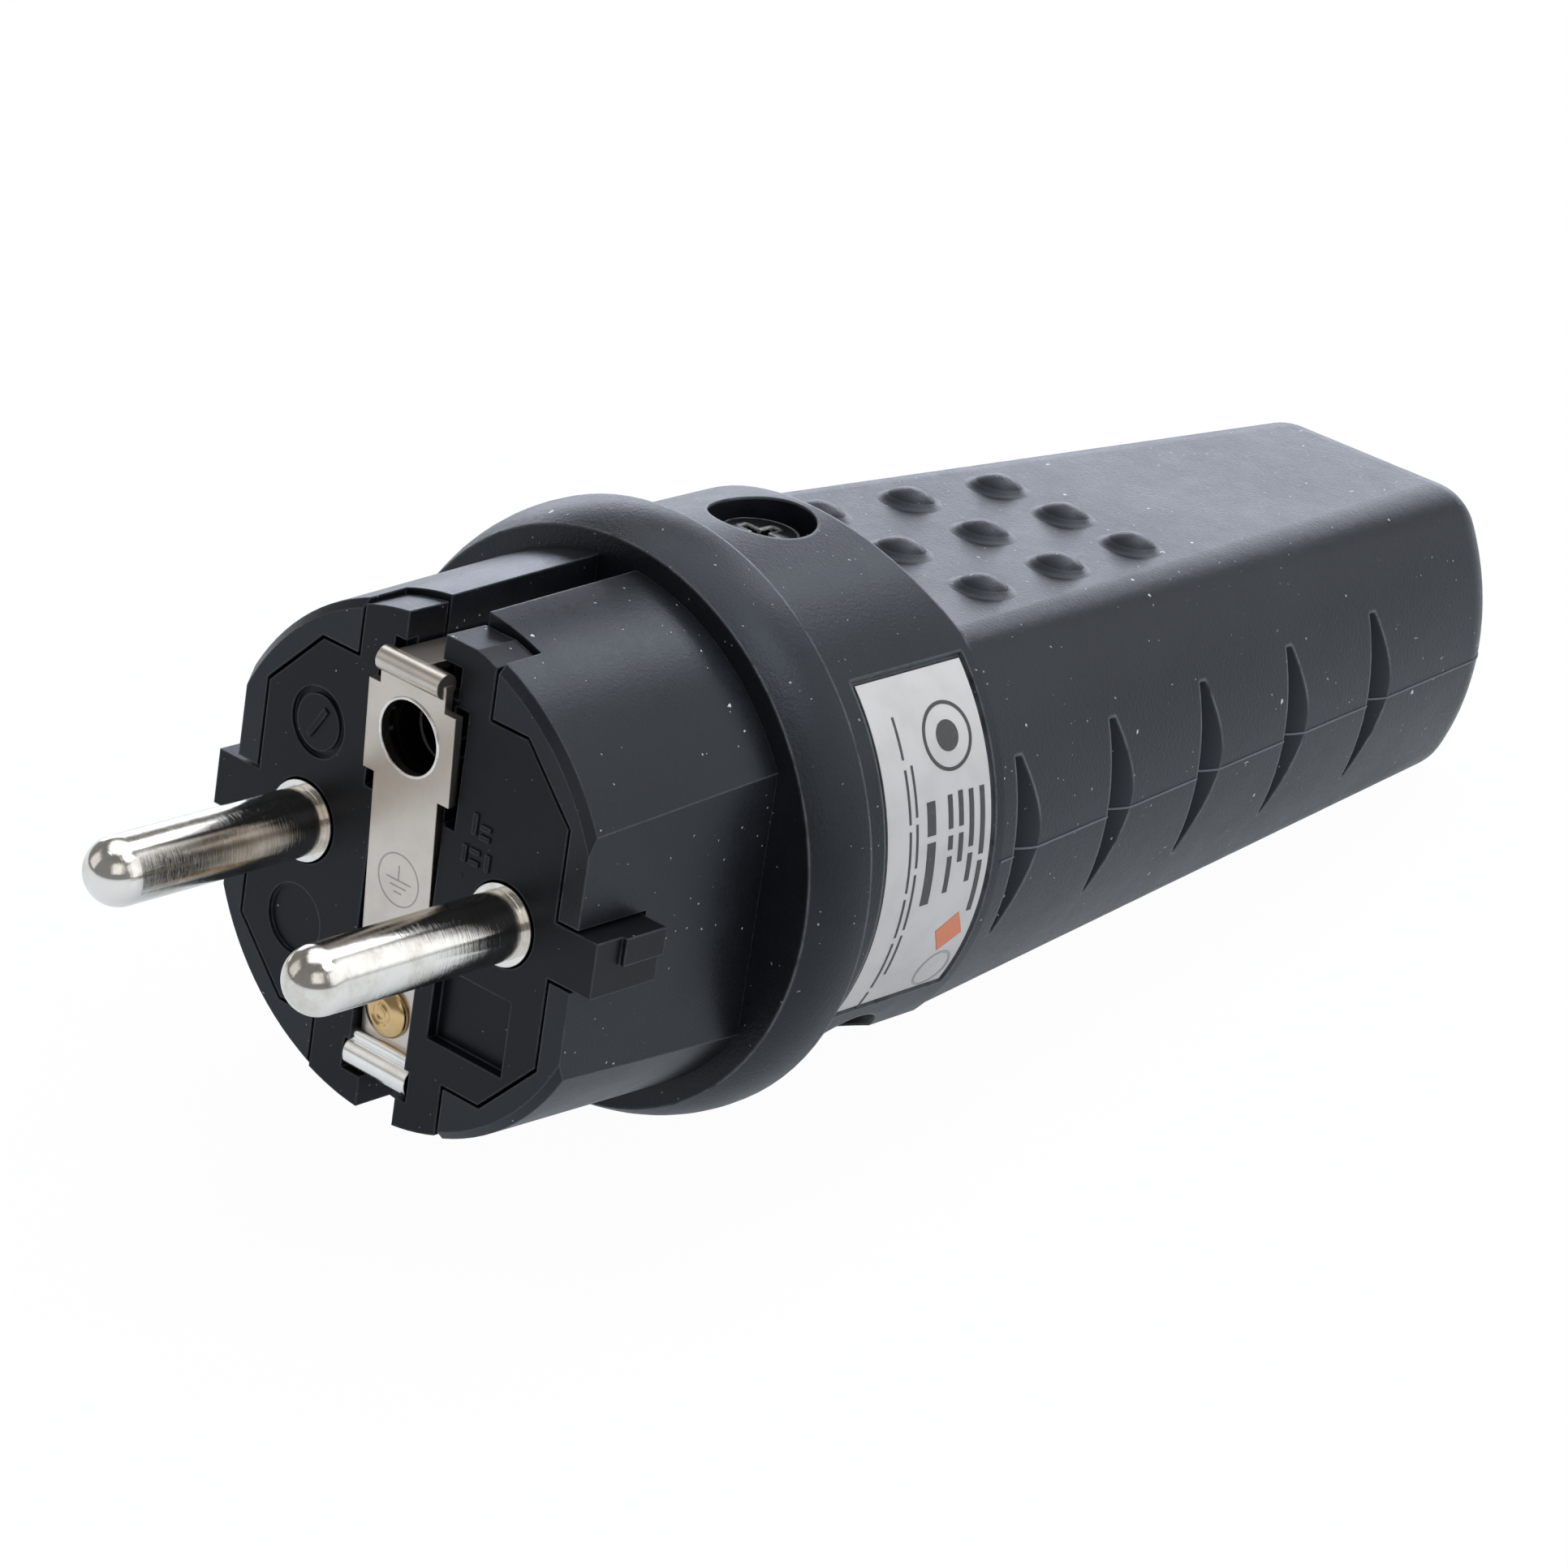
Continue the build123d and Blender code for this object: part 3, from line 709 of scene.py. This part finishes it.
def ring_of(mesh: Mesh, radius: float, line: float, segments: int = 48) -> List[Face]:
    """Adds a flat ring about the origin in X and Y.

    Args:
        mesh: The mesh to add to.
        radius: Outer radius.
        line: Width of the ring.
        segments: Corners round it.

    Returns:
        The ring's faces.
    """
    made = bmesh.ops.create_circle(mesh, cap_ends=True, radius=radius, segments=segments)
    disc = made["verts"][0].link_faces[0]
    rim = bmesh.ops.inset_region(
        mesh, faces=[disc], thickness=line, use_boundary=True, use_even_offset=True
    )
    bmesh.ops.delete(mesh, geom=[disc], context="FACES")
    return rim["faces"]


def disc_of(mesh: Mesh, radius: float, rings: int = 4, segments: int = 40) -> List[Face]:
    """Adds a flat disc of concentric rings about the origin in X and Y.

    Args:
        mesh: The mesh to add to.
        radius: Its radius.
        rings: Number of rings.
        segments: Corners round it.

    Returns:
        The disc's faces.
    """
    made = bmesh.ops.create_circle(mesh, cap_ends=True, radius=radius, segments=segments)
    heart = made["verts"][0].link_faces[0]
    faces = [heart]
    for _ in range(rings - 1):
        width = radius / rings
        rim = bmesh.ops.inset_region(mesh, faces=[heart], thickness=width, use_boundary=True)
        faces += rim["faces"]
    return faces


def bar_of(mesh: Mesh, size: Sequence[float], steps: Sequence[int] = (1, 1)) -> List[Vert]:
    """Adds a flat bar about the origin in X and Y.

    Args:
        mesh: The mesh to add to.
        size: Length in X and width in Y.
        steps: Divisions along each.

    Returns:
        The bar's vertices.
    """
    made = bmesh.ops.create_grid(mesh, x_segments=steps[0], y_segments=steps[1], size=0.5)
    bmesh.ops.scale(mesh, vec=(size[0], size[1], 1.0), verts=made["verts"])
    return made["verts"]


def spun(outline: Outline, closed: bool, segments: int = 64) -> Mesh:
    """Spins an outline of (radius, height) points about Z.

    Args:
        outline: The points in order.
        closed: Whether the last point leads back to the first.
        segments: Steps of the full turn.

    Returns:
        A closed mesh.
    """
    mesh = bmesh.new()
    verts = [mesh.verts.new((radius, 0.0, height)) for radius, height in outline]
    pairs = list(zip(verts, verts[1:]))
    if closed:
        pairs.append((verts[-1], verts[0]))
    edges = [mesh.edges.new(pair) for pair in pairs]
    bmesh.ops.spin(
        mesh, geom=verts + edges, cent=(0, 0, 0), axis=(0, 0, 1),
        angle=math.tau, steps=segments, use_merge=True,
    )
    bmesh.ops.remove_doubles(mesh, verts=mesh.verts, dist=POLE_WELD)
    bmesh.ops.recalc_face_normals(mesh, faces=mesh.faces[:])
    soften(mesh, mesh.faces)
    return mesh


def thicken(mesh: Mesh, thickness: float) -> None:
    """Makes a sheet a thin closed body."""
    bmesh.ops.solidify(mesh, geom=mesh.faces[:], thickness=thickness)
    bmesh.ops.recalc_face_normals(mesh, faces=mesh.faces[:])


@dataclass
class GripHousing:
    """The rubber moulding, the soft feet of its studs and the fine line where its mould parted."""

    node: str = "grip_housing"
    line_start: float = 38.9
    line_end: float = 105.6
    line_half_width: float = 0.075
    line_height: float = 0.06
    wall_inside: float = 13.2
    throat_start: float = 74.0
    end_inside: float = 7.0
    node_weld: float = 0.005
    line_weld: float = 0.03
    stud_rows: Outline = ((47.4, 7.8), (56.6, 7.125), (65.8, 6.45))
    stud_reach: float = 2.9
    fillet: Outline = (
        (1.3, 0.52), (1.5, 0.44), (1.72, 0.345), (1.93, 0.195), (2.16, 0.08),
        (2.4, 0.01), (2.65, -0.02), (3.1, -0.1), (1.3, -0.1),
    )

    def stud_place(self, surface: Surface, x: float, y: float, side: float) -> Matrix:
        """Finds a stud's foot on its panel.

        Args:
            surface: The housing's surface.
            x: The stud's place across the plug.
            y: Its place along the plug.
            side: 1 for the upper panel and -1 for the lower one.

        Returns:
            The matrix that stands a mesh drawn about Z on the panel there.
        """
        reach = self.stud_reach
        left, right, front, rear = (
            surface.panel_point(x + dx, y + dy, side)
            for dx, dy in ((-reach, 0), (reach, 0), (0, -reach), (0, reach))
        )
        across = ((right - left) * side).normalized()
        out = across.cross(rear - front).normalized()
        turn = Matrix((across, out.cross(across), out)).transposed()
        return Matrix.Translation((left + right + front + rear) / 4) @ turn.to_4x4()

    def stud_fillets(self) -> bpy.types.Object:
        """Soft hollow fillets round the feet of the studs.

        Returns:
            The fillets' object.
        """
        surface = Surface(self.node)
        mesh = spun(self.fillet, closed=True, segments=40)
        soften(mesh, [face for face in mesh.faces if face.normal.z > 0.1])
        pattern = mesh.verts[:]
        source = pattern + mesh.edges[:] + mesh.faces[:]
        columns = [(y, x * share) for y, x in self.stud_rows for share in (-1, 0, 1)]
        for y, x in columns:
            for side in (1.0, -1.0):
                copy = bmesh.ops.duplicate(mesh, geom=source)["geom"]
                verts = [part for part in copy if isinstance(part, Vert)]
                place = self.stud_place(surface, x, y, side)
                bmesh.ops.transform(mesh, matrix=place, verts=verts)
        bmesh.ops.delete(mesh, geom=pattern, context="VERTS")
        AXES.place(mesh)
        return add_piece("stud_fillets", mesh, SOFT_RUBBER)

    def on_line(self, edge: Edge) -> bool:
        """Tells whether a cut edge belongs to the outer wall."""
        middle = (edge.verts[0].co + edge.verts[1].co) / 2
        limit = self.wall_inside if middle.y < self.throat_start else self.end_inside
        return self.line_start < middle.y < self.line_end and abs(middle.x) > limit

    def parting_line(self) -> bpy.types.Object:
        """Cuts a copy of the housing at its middle and leaves a fine raised line along the cut.

        Returns:
            The line's object.
        """
        mesh = bmesh.new()
        mesh.from_mesh(frame["nodes"][self.node].data)
        bmesh.ops.transform(mesh, matrix=AXES.matrix.inverted(), verts=mesh.verts)
        bmesh.ops.remove_doubles(mesh, verts=mesh.verts, dist=self.node_weld)
        whole = mesh.verts[:] + mesh.edges[:] + mesh.faces[:]
        cut = bmesh.ops.bisect_plane(mesh, geom=whole, plane_co=(0, 0, 0), plane_no=(0, 0, 1))
        edges = [part for part in cut["geom_cut"] if isinstance(part, Edge)]
        kept = {edge for edge in edges if self.on_line(edge)}
        bmesh.ops.delete(mesh, geom=mesh.faces[:], context="FACES_ONLY")
        others = [edge for edge in mesh.edges if edge not in kept]
        bmesh.ops.delete(mesh, geom=others, context="EDGES")
        loose = [vert for vert in mesh.verts if not vert.link_edges]
        bmesh.ops.delete(mesh, geom=loose, context="VERTS")
        bmesh.ops.remove_doubles(mesh, verts=mesh.verts, dist=self.line_weld)
        bmesh.ops.translate(mesh, vec=(0, 0, -self.line_half_width), verts=mesh.verts)
        raised = bmesh.ops.extrude_edge_only(mesh, edges=mesh.edges[:])["geom"]
        upper = [vert for vert in raised if isinstance(vert, Vert)]
        bmesh.ops.translate(mesh, vec=(0, 0, 2 * self.line_half_width), verts=upper)
        mesh.normal_update()
        wrong = [face for face in mesh.faces if face.normal.x * face.calc_center_median().x < 0]
        bmesh.ops.reverse_faces(mesh, faces=wrong)
        mesh.normal_update()
        proud = bmesh.ops.extrude_face_region(mesh, geom=mesh.faces[:], use_keep_orig=True)["geom"]
        for vert in proud:
            if isinstance(vert, Vert):
                out = Vector((math.copysign(1.0, vert.co.x), vert.normal.y, 0.0))
                vert.co += out.normalized() * self.line_height
        bmesh.ops.recalc_face_normals(mesh, faces=mesh.faces[:])
        AXES.place(mesh)
        # The line is drawn in a lighter rubber: a painted highlight.
        return add_piece("parting_line", mesh, PARTING_HIGHLIGHT)

    def build(self) -> None:
        """Dresses the housing and adds its fillets and its line."""
        dress([self.node], RUBBER)
        self.stud_fillets()
        self.parting_line()


@dataclass
class FrontBody:
    """The insulating shell and the contact carrier with its moulded marks."""

    tick_place: Pair = (-9.2, 7.3)
    tick_size: Pair = (2.6, 0.5)
    tick_turn: float = math.radians(58)
    relief: float = 0.14
    blocks: Tuple[Tuple[float, float, float, float], ...] = (
        (6.1, 5.9, 0.4, 1.5), (7.1, 5.9, 0.9, 0.35), (7.1, 5.2, 0.9, 0.35),
        (5.5, 3.6, 0.4, 1.2), (6.4, 4.0, 0.9, 0.35), (6.4, 3.2, 0.9, 0.35), (7.6, 3.6, 0.4, 1.2),
        (6.4, 1.9, 2.0, 0.35),
    )

    def marks(self) -> bpy.types.Object:
        """Raised plain marks on the carrier's face.

        Returns:
            The marks' object.
        """
        mesh = bmesh.new()
        tick = bar_of(mesh, self.tick_size)
        bmesh.ops.rotate(mesh, matrix=Matrix.Rotation(self.tick_turn, 3, "Z"), verts=tick)
        bmesh.ops.translate(mesh, vec=(*self.tick_place, 0), verts=tick)
        for x, z, width, height in self.blocks:
            block = bar_of(mesh, (width, height))
            bmesh.ops.translate(mesh, vec=(x, z, 0), verts=block)
        bmesh.ops.rotate(mesh, matrix=UPRIGHT, verts=mesh.verts)
        Surface("contact_carrier").drop_on_face(mesh, self.relief)
        thicken(mesh, self.relief)
        AXES.place(mesh)
        return add_piece("face_marks", mesh, INSERT)

    def build(self) -> None:
        """Dresses the shell and the carrier and adds the marks."""
        dress(["front_shell"], SHELL)
        dress(["contact_carrier"], INSERT)
        self.marks()


@dataclass
class Contacts:
    """The two pins, the earth strip with its sign, sleeve and rivet, and the terminals behind."""

    sign_place: Pair = (0.0, -0.6)
    sign_radius: float = 1.95
    sign_line: float = 0.12
    sign_lift: float = 0.012
    sign_bars: Outline = ((2.3, -0.05), (1.5, -0.5), (0.75, -0.95))
    stem: float = 1.1
    strip_front: float = -0.15
    strip_lean: float = math.radians(4)
    rivet_drop: float = 10.4
    rivet_dome: Outline = (
        (0.0, 0.0), (1.92, 0.0), (1.92, 0.22), (1.84, 0.38), (1.68, 0.5), (1.42, 0.62),
        (1.16, 0.74), (1.0, 0.79), (0.9, 0.76), (0.82, 0.66), (0.72, 0.65), (0.62, 0.75),
        (0.48, 0.78), (0.38, 0.68), (0.2, 0.65), (0.0, 0.65),
    )
    hole_rise: float = 9.9
    hole_rim: Outline = (
        (2.6, -0.05), (2.6, 0.06), (2.66, 0.11), (2.76, 0.11), (2.82, 0.06), (2.84, -0.05),
    )
    hem_drop: float = 14.0
    hem_half_width: float = 2.95
    hem_outline: Outline = (
        (0.5, 1.25), (-0.1, 1.3), (-0.35, 1.25), (-0.52, 1.08), (-0.58, 0.85), (-0.52, 0.6),
        (-0.46, 0.45), (-0.62, 0.3), (-0.85, 0.1), (-1.02, -0.2), (-1.08, -0.6), (-1.02, -1.0),
        (-0.85, -1.35), (-0.5, -1.58), (0.0, -1.65), (0.5, -1.5),
    )

    def on_strip(self, mesh: Mesh, height: float) -> None:
        """Takes a mesh to the strip's front, at a height, and to the row frame."""
        bmesh.ops.translate(mesh, vec=(0, self.strip_front, height), verts=mesh.verts)
        lean = Matrix.Rotation(self.strip_lean, 3, "X")
        bmesh.ops.rotate(mesh, matrix=lean, verts=mesh.verts)
        AXES.place(mesh)

    def rivet_cap(self) -> bpy.types.Object:
        """Domed, stamped head of the rivet.

        Returns:
            The head's object.
        """
        mesh = spun(self.rivet_dome, closed=False)
        bmesh.ops.rotate(mesh, matrix=UPRIGHT, verts=mesh.verts)
        self.on_strip(mesh, -self.rivet_drop)
        return add_piece("rivet_cap", mesh, BRASS)

    def rim(self) -> bpy.types.Object:
        """Fine burr round the earth-pin hole, in a lighter copy of the strip metal that paints a
        highlight on it.

        Returns:
            The burr's object.
        """
        mesh = spun(self.hole_rim, closed=True)
        bmesh.ops.rotate(mesh, matrix=UPRIGHT, verts=mesh.verts)
        self.on_strip(mesh, self.hole_rise)
        return add_piece("hole_rim", mesh, STRIP_HIGHLIGHT)

    def hem(self) -> bpy.types.Object:
        """Doubled lower hem of the strip, in a lighter copy of the strip metal that paints a
        highlight on it.

        Returns:
            The hem's object.
        """
        mesh = bmesh.new()
        verts = [mesh.verts.new((-self.hem_half_width, y, z)) for y, z in self.hem_outline]
        side = mesh.faces.new(verts)
        moved = bmesh.ops.extrude_face_region(mesh, geom=[side], use_keep_orig=True)["geom"]
        far = [vert for vert in moved if isinstance(vert, Vert)]
        bmesh.ops.translate(mesh, vec=(2 * self.hem_half_width, 0, 0), verts=far)
        bmesh.ops.recalc_face_normals(mesh, faces=mesh.faces[:])
        soften(mesh, [face for face in mesh.faces if len(face.verts) == 4])
        self.on_strip(mesh, -self.hem_drop)
        return add_piece("strip_hem", mesh, STRIP_HIGHLIGHT)

    def sign(self) -> bpy.types.Object:
        """Fine earth sign in a ring on the strip.

        Returns:
            The sign's object.
        """
        mesh = bmesh.new()
        ring_of(mesh, self.sign_radius, self.sign_line)
        for length, height in self.sign_bars:
            bar = bar_of(mesh, (length, self.sign_line))
            bmesh.ops.translate(mesh, vec=(0, height, 0), verts=bar)
        stem = bar_of(mesh, (self.sign_line, self.stem))
        bmesh.ops.translate(mesh, vec=(0, self.sign_bars[0][1] + self.stem / 2, 0), verts=stem)
        bmesh.ops.translate(mesh, vec=(*self.sign_place, 0), verts=mesh.verts)
        bmesh.ops.rotate(mesh, matrix=UPRIGHT, verts=mesh.verts)
        Surface("earth_strip").drop_on_face(mesh, self.sign_lift)
        thicken(mesh, self.sign_lift)
        AXES.place(mesh)
        return add_piece("earth_sign", mesh, ENGRAVED)

    def build(self) -> None:
        """Dresses the contacts and adds the strip's fine pieces."""
        dress(["pin_left", "pin_right"], NICKEL)
        dress(["earth_strip"], STRIP)
        # The contact sleeve is near black, painted shade, with a band of painted highlight.
        dress(["earth_pin_contact"], SHADED_SLEEVE)
        dress(["earth_rivet", "earth_terminal"], BRASS)
        dress([
            "terminal_screw_left", "terminal_screw_right", "earth_terminal_screw",
            "clamp_screw_left", "clamp_screw_right",
        ], ZINC)
        dress(["clamp_bar"], INSERT)
        dress(["housing_screw_top", "housing_screw_right", "housing_screw_left"], BLACK_STEEL)
        self.sign()
        self.rivet_cap()
        self.rim()
        self.hem()


@dataclass
class RatingLabel:
    """The foil sticker round the collar with its plain printed shapes.

    Places on it are (u, v): along the arc from the upper edge, and from the edge at the flange.
    """

    radius: float = 19.87
    top_angle: float = math.radians(43.0)
    start_y: float = 26.5
    lift: float = 0.025
    emblem: Pair = (4.9, 7.2)
    emblem_radius: float = 2.45
    emblem_line: float = 0.26
    emblem_heart: float = 1.1
    orange: Pair = (19.65, 8.45)
    orange_side: float = 2.3
    orange_turn: float = math.radians(30)
    thin_ring: Pair = (23.2, 8.75)
    thin_ring_radius: float = 1.7
    thin_ring_line: float = 0.2
    rows: Tuple[Tuple[float, float, float, Tuple[float, ...]], ...] = (
        (9.9, 8.9, 0.46, (4.9, 3.9)),
        (8.75, 8.9, 0.46, (4.1, 2.1)),
        (7.65, 8.8, 0.46, (2.5, 2.1)),
        (6.55, 8.9, 0.46, (2.4, 1.0, 2.7)),
        (4.55, 9.0, 0.85, (2.4, 4.6)),
        (3.05, 6.2, 0.2, (3.6, 3.1, 4.2, 3.4)),
        (2.35, 2.7, 0.2, (3.0,)),
        (2.35, 6.4, 0.2, (3.8, 4.4, 3.0, 4.0, 2.2)),
    )
    word_gap: float = 0.5
    step: float = 0.5

    def wrap(self, mesh: Mesh) -> None:
        """Lays a sheet drawn in u and v round the label and takes it to the row frame."""
        thicken(mesh, self.lift)
        low = min(vert.co.z for vert in mesh.verts)
        for vert in mesh.verts:
            angle = self.top_angle - vert.co.x / self.radius
            out = self.radius + vert.co.z - low + self.lift * 0.2
            along = self.start_y + vert.co.y
            vert.co = Vector((out * math.cos(angle), along, out * math.sin(angle)))
        bmesh.ops.recalc_face_normals(mesh, faces=mesh.faces[:])
        AXES.place(mesh)

    def dark_print(self) -> bpy.types.Object:
        """Rows of plain bars and a ring with a round heart.

        Returns:
            The print's object.
        """
        mesh = bmesh.new()
        ring_of(mesh, self.emblem_radius, self.emblem_line)
        disc_of(mesh, self.emblem_heart)
        bmesh.ops.translate(mesh, vec=(*self.emblem, 0), verts=mesh.verts)
        for v, start, height, words in self.rows:
            for length in words:
                steps = max(1, round(length / self.step))
                bar = bar_of(mesh, (length, height), (steps, 1))
                bmesh.ops.translate(mesh, vec=(start + length / 2, v, 0), verts=bar)
                start += length + self.word_gap
        self.wrap(mesh)
        return add_piece("label_print", mesh, INK)

    def orange_field(self) -> bpy.types.Object:
        """Small square of colour.

        Returns:
            The square's object.
        """
        mesh = bmesh.new()
        square = bar_of(mesh, (self.orange_side, self.orange_side), (4, 4))
        bmesh.ops.rotate(mesh, matrix=Matrix.Rotation(self.orange_turn, 3, "Z"), verts=square)
        bmesh.ops.translate(mesh, vec=(*self.orange, 0), verts=square)
        self.wrap(mesh)
        return add_piece("label_orange_field", mesh, ORANGE_INK)

    def grey_ring(self) -> bpy.types.Object:
        """Thin grey ring.

        Returns:
            The ring's object.
        """
        mesh = bmesh.new()
        ring_of(mesh, self.thin_ring_radius, self.thin_ring_line)
        bmesh.ops.translate(mesh, vec=(*self.thin_ring, 0), verts=mesh.verts)
        self.wrap(mesh)
        return add_piece("label_grey_ring", mesh, GREY_INK)

    def build(self) -> None:
        """Dresses the label and prints it."""
        dress(["rating_label"], FOIL)
        self.dark_print()
        self.orange_field()
        self.grey_ring()


@dataclass(frozen=True)
class Lamp:
    """A soft rectangular lamp that faces the plug, in metres and watts."""

    name: str
    place: Tuple[float, float, float]
    width: float
    height: float
    power: float
    colour: Colour

    def build(self, target: Vector) -> bpy.types.Object:
        """Hangs the lamp so that it faces a target.

        Args:
            target: The point it faces.

        Returns:
            The lamp.
        """
        data = bpy.data.lights.new(self.name, "AREA")
        data.shape = "RECTANGLE"
        data.size = self.width
        data.size_y = self.height
        data.energy = self.power
        data.color = self.colour
        lamp = bpy.data.objects.new(self.name, data)
        lamp.location = self.place
        lamp.rotation_euler = (target - Vector(self.place)).to_track_quat("-Z", "Y").to_euler()
        bpy.context.scene.collection.objects.link(lamp)
        return lamp


@dataclass
class Studio:
    """Pale floor, soft light and the camera at the photograph's angle."""

    right: Tuple[float, float, float] = (0.73041359, 0.66805207, 0.14213517)
    down: Tuple[float, float, float] = (0.35628414, -0.19512706, -0.91377625)
    centre: Tuple[float, float, float] = (255.138, -275.879, 164.757)
    lens: float = 141.54
    floor_half: float = 4.0
    floor_gap: float = 0.02
    lamp_target: Tuple[float, float, float] = (0.0, 0.0, 0.02)
    floor_colour: Colour = (0.8, 0.8, 0.8)
    floor_glow: float = 0.97
    floor_mirror: float = 0.56
    floor_cool: Colour = (0.84, 0.92, 1.0)
    sky: float = 0.25
    lamps: Tuple[Lamp, ...] = (
        Lamp("back_softbox", (-0.85, 1.0, 0.21), 1.4, 0.42, 7.6, (0.82, 0.87, 1.0)),
        Lamp("top_softbox", (-0.2, 0.3, 1.1), 1.2, 1.2, 10.5, (0.90, 0.94, 1.0)),
        Lamp("rim_softbox", (-0.16, 1.05, 0.83), 0.5, 0.4, 2.6, (0.86, 0.92, 1.0)),
        Lamp("crown_softbox", (0.6, 0.23, 1.13), 0.5, 0.5, 4.2, (0.86, 0.92, 1.0)),
        Lamp("front_fill", (-0.9, -0.7, 0.5), 0.7, 0.7, 1.0, WHITE),
        Lamp("key_softbox", (0.8, -0.85, 0.8), 0.8, 0.8, 1.8, WHITE),
        Lamp("right_softbox", (0.95, 0.75, 0.6), 2.2, 1.1, 9.0, (0.92, 0.96, 1.0)),
    )

    def camera(self) -> bpy.types.Object:
        """Camera at the photograph's place.

        Returns:
            The camera.
        """
        data = bpy.data.cameras.new("camera")
        data.lens = self.lens
        data.sensor_width = 36.0
        data.clip_start = 0.01
        camera = bpy.data.objects.new("camera", data)
        right, up = Vector(self.right), -Vector(self.down)
        turn = AXES.turn @ Matrix((right, up, right.cross(up))).transposed()
        camera.matrix_world = Matrix.Translation(AXES.matrix @ Vector(self.centre)) @ turn.to_4x4()
        bpy.context.scene.collection.objects.link(camera)
        bpy.context.scene.camera = camera
        return camera

    def floor(self) -> bpy.types.Object:
        """Pale floor that keeps a faint shadow.

        Returns:
            The floor.
        """
        mesh = bmesh.new()
        bmesh.ops.create_grid(mesh, x_segments=1, y_segments=1, size=self.floor_half)
        bmesh.ops.translate(mesh, vec=(0, 0, CAD_BOX[0][2] - self.floor_gap * MM), verts=mesh.verts)
        data = bpy.data.meshes.new("floor")
        mesh.to_mesh(data)
        mesh.free()
        graph = Graph.material("pale_floor")
        path = graph.node("ShaderNodeLightPath", output="Is Camera Ray")
        mirrored = (path.out("Is Glossy Ray") + path.out("Is Transmission Ray")) * self.floor_mirror
        seen = (path * self.floor_glow + mirrored).clamped()
        matt = graph.node("ShaderNodeBsdfDiffuse", {}, {"Color": rgba(self.floor_colour)})
        white = graph.mix(path, rgba(self.floor_cool), rgba(WHITE))
        glow = graph.node("ShaderNodeEmission", {}, {"Color": white, "Strength": 1.0})
        graph.close(graph.node("ShaderNodeMixShader", {}, {0: seen, 1: matt, 2: glow}))
        data.materials.append(graph.owner)
        floor = bpy.data.objects.new("floor", data)
        bpy.context.scene.collection.objects.link(floor)
        return floor

    def light(self) -> None:
        """Soft lamps and a plain sky."""
        for lamp in self.lamps:
            lamp.build(Vector(self.lamp_target))
        world = bpy.context.scene.world or bpy.data.worlds.new("studio")
        bpy.context.scene.world = world
        graph = Graph(world)
        inputs = {"Color": rgba(WHITE), "Strength": self.sky}
        graph.close(graph.node("ShaderNodeBackground", {}, inputs))

    def build(self) -> None:
        """Sets the stage."""
        bpy.context.scene.view_settings.view_transform = "Standard"
        self.camera()
        self.floor()
        self.light()


def main() -> None:
    """Builds the plug's looks in order."""
    logging.basicConfig(level=logging.INFO)
    for assembly in (GripHousing(), FrontBody(), Contacts(), RatingLabel(), Studio()):
        assembly.build()
        log.info("built %s", type(assembly).__name__)


if __name__ == "__main__":
    main()
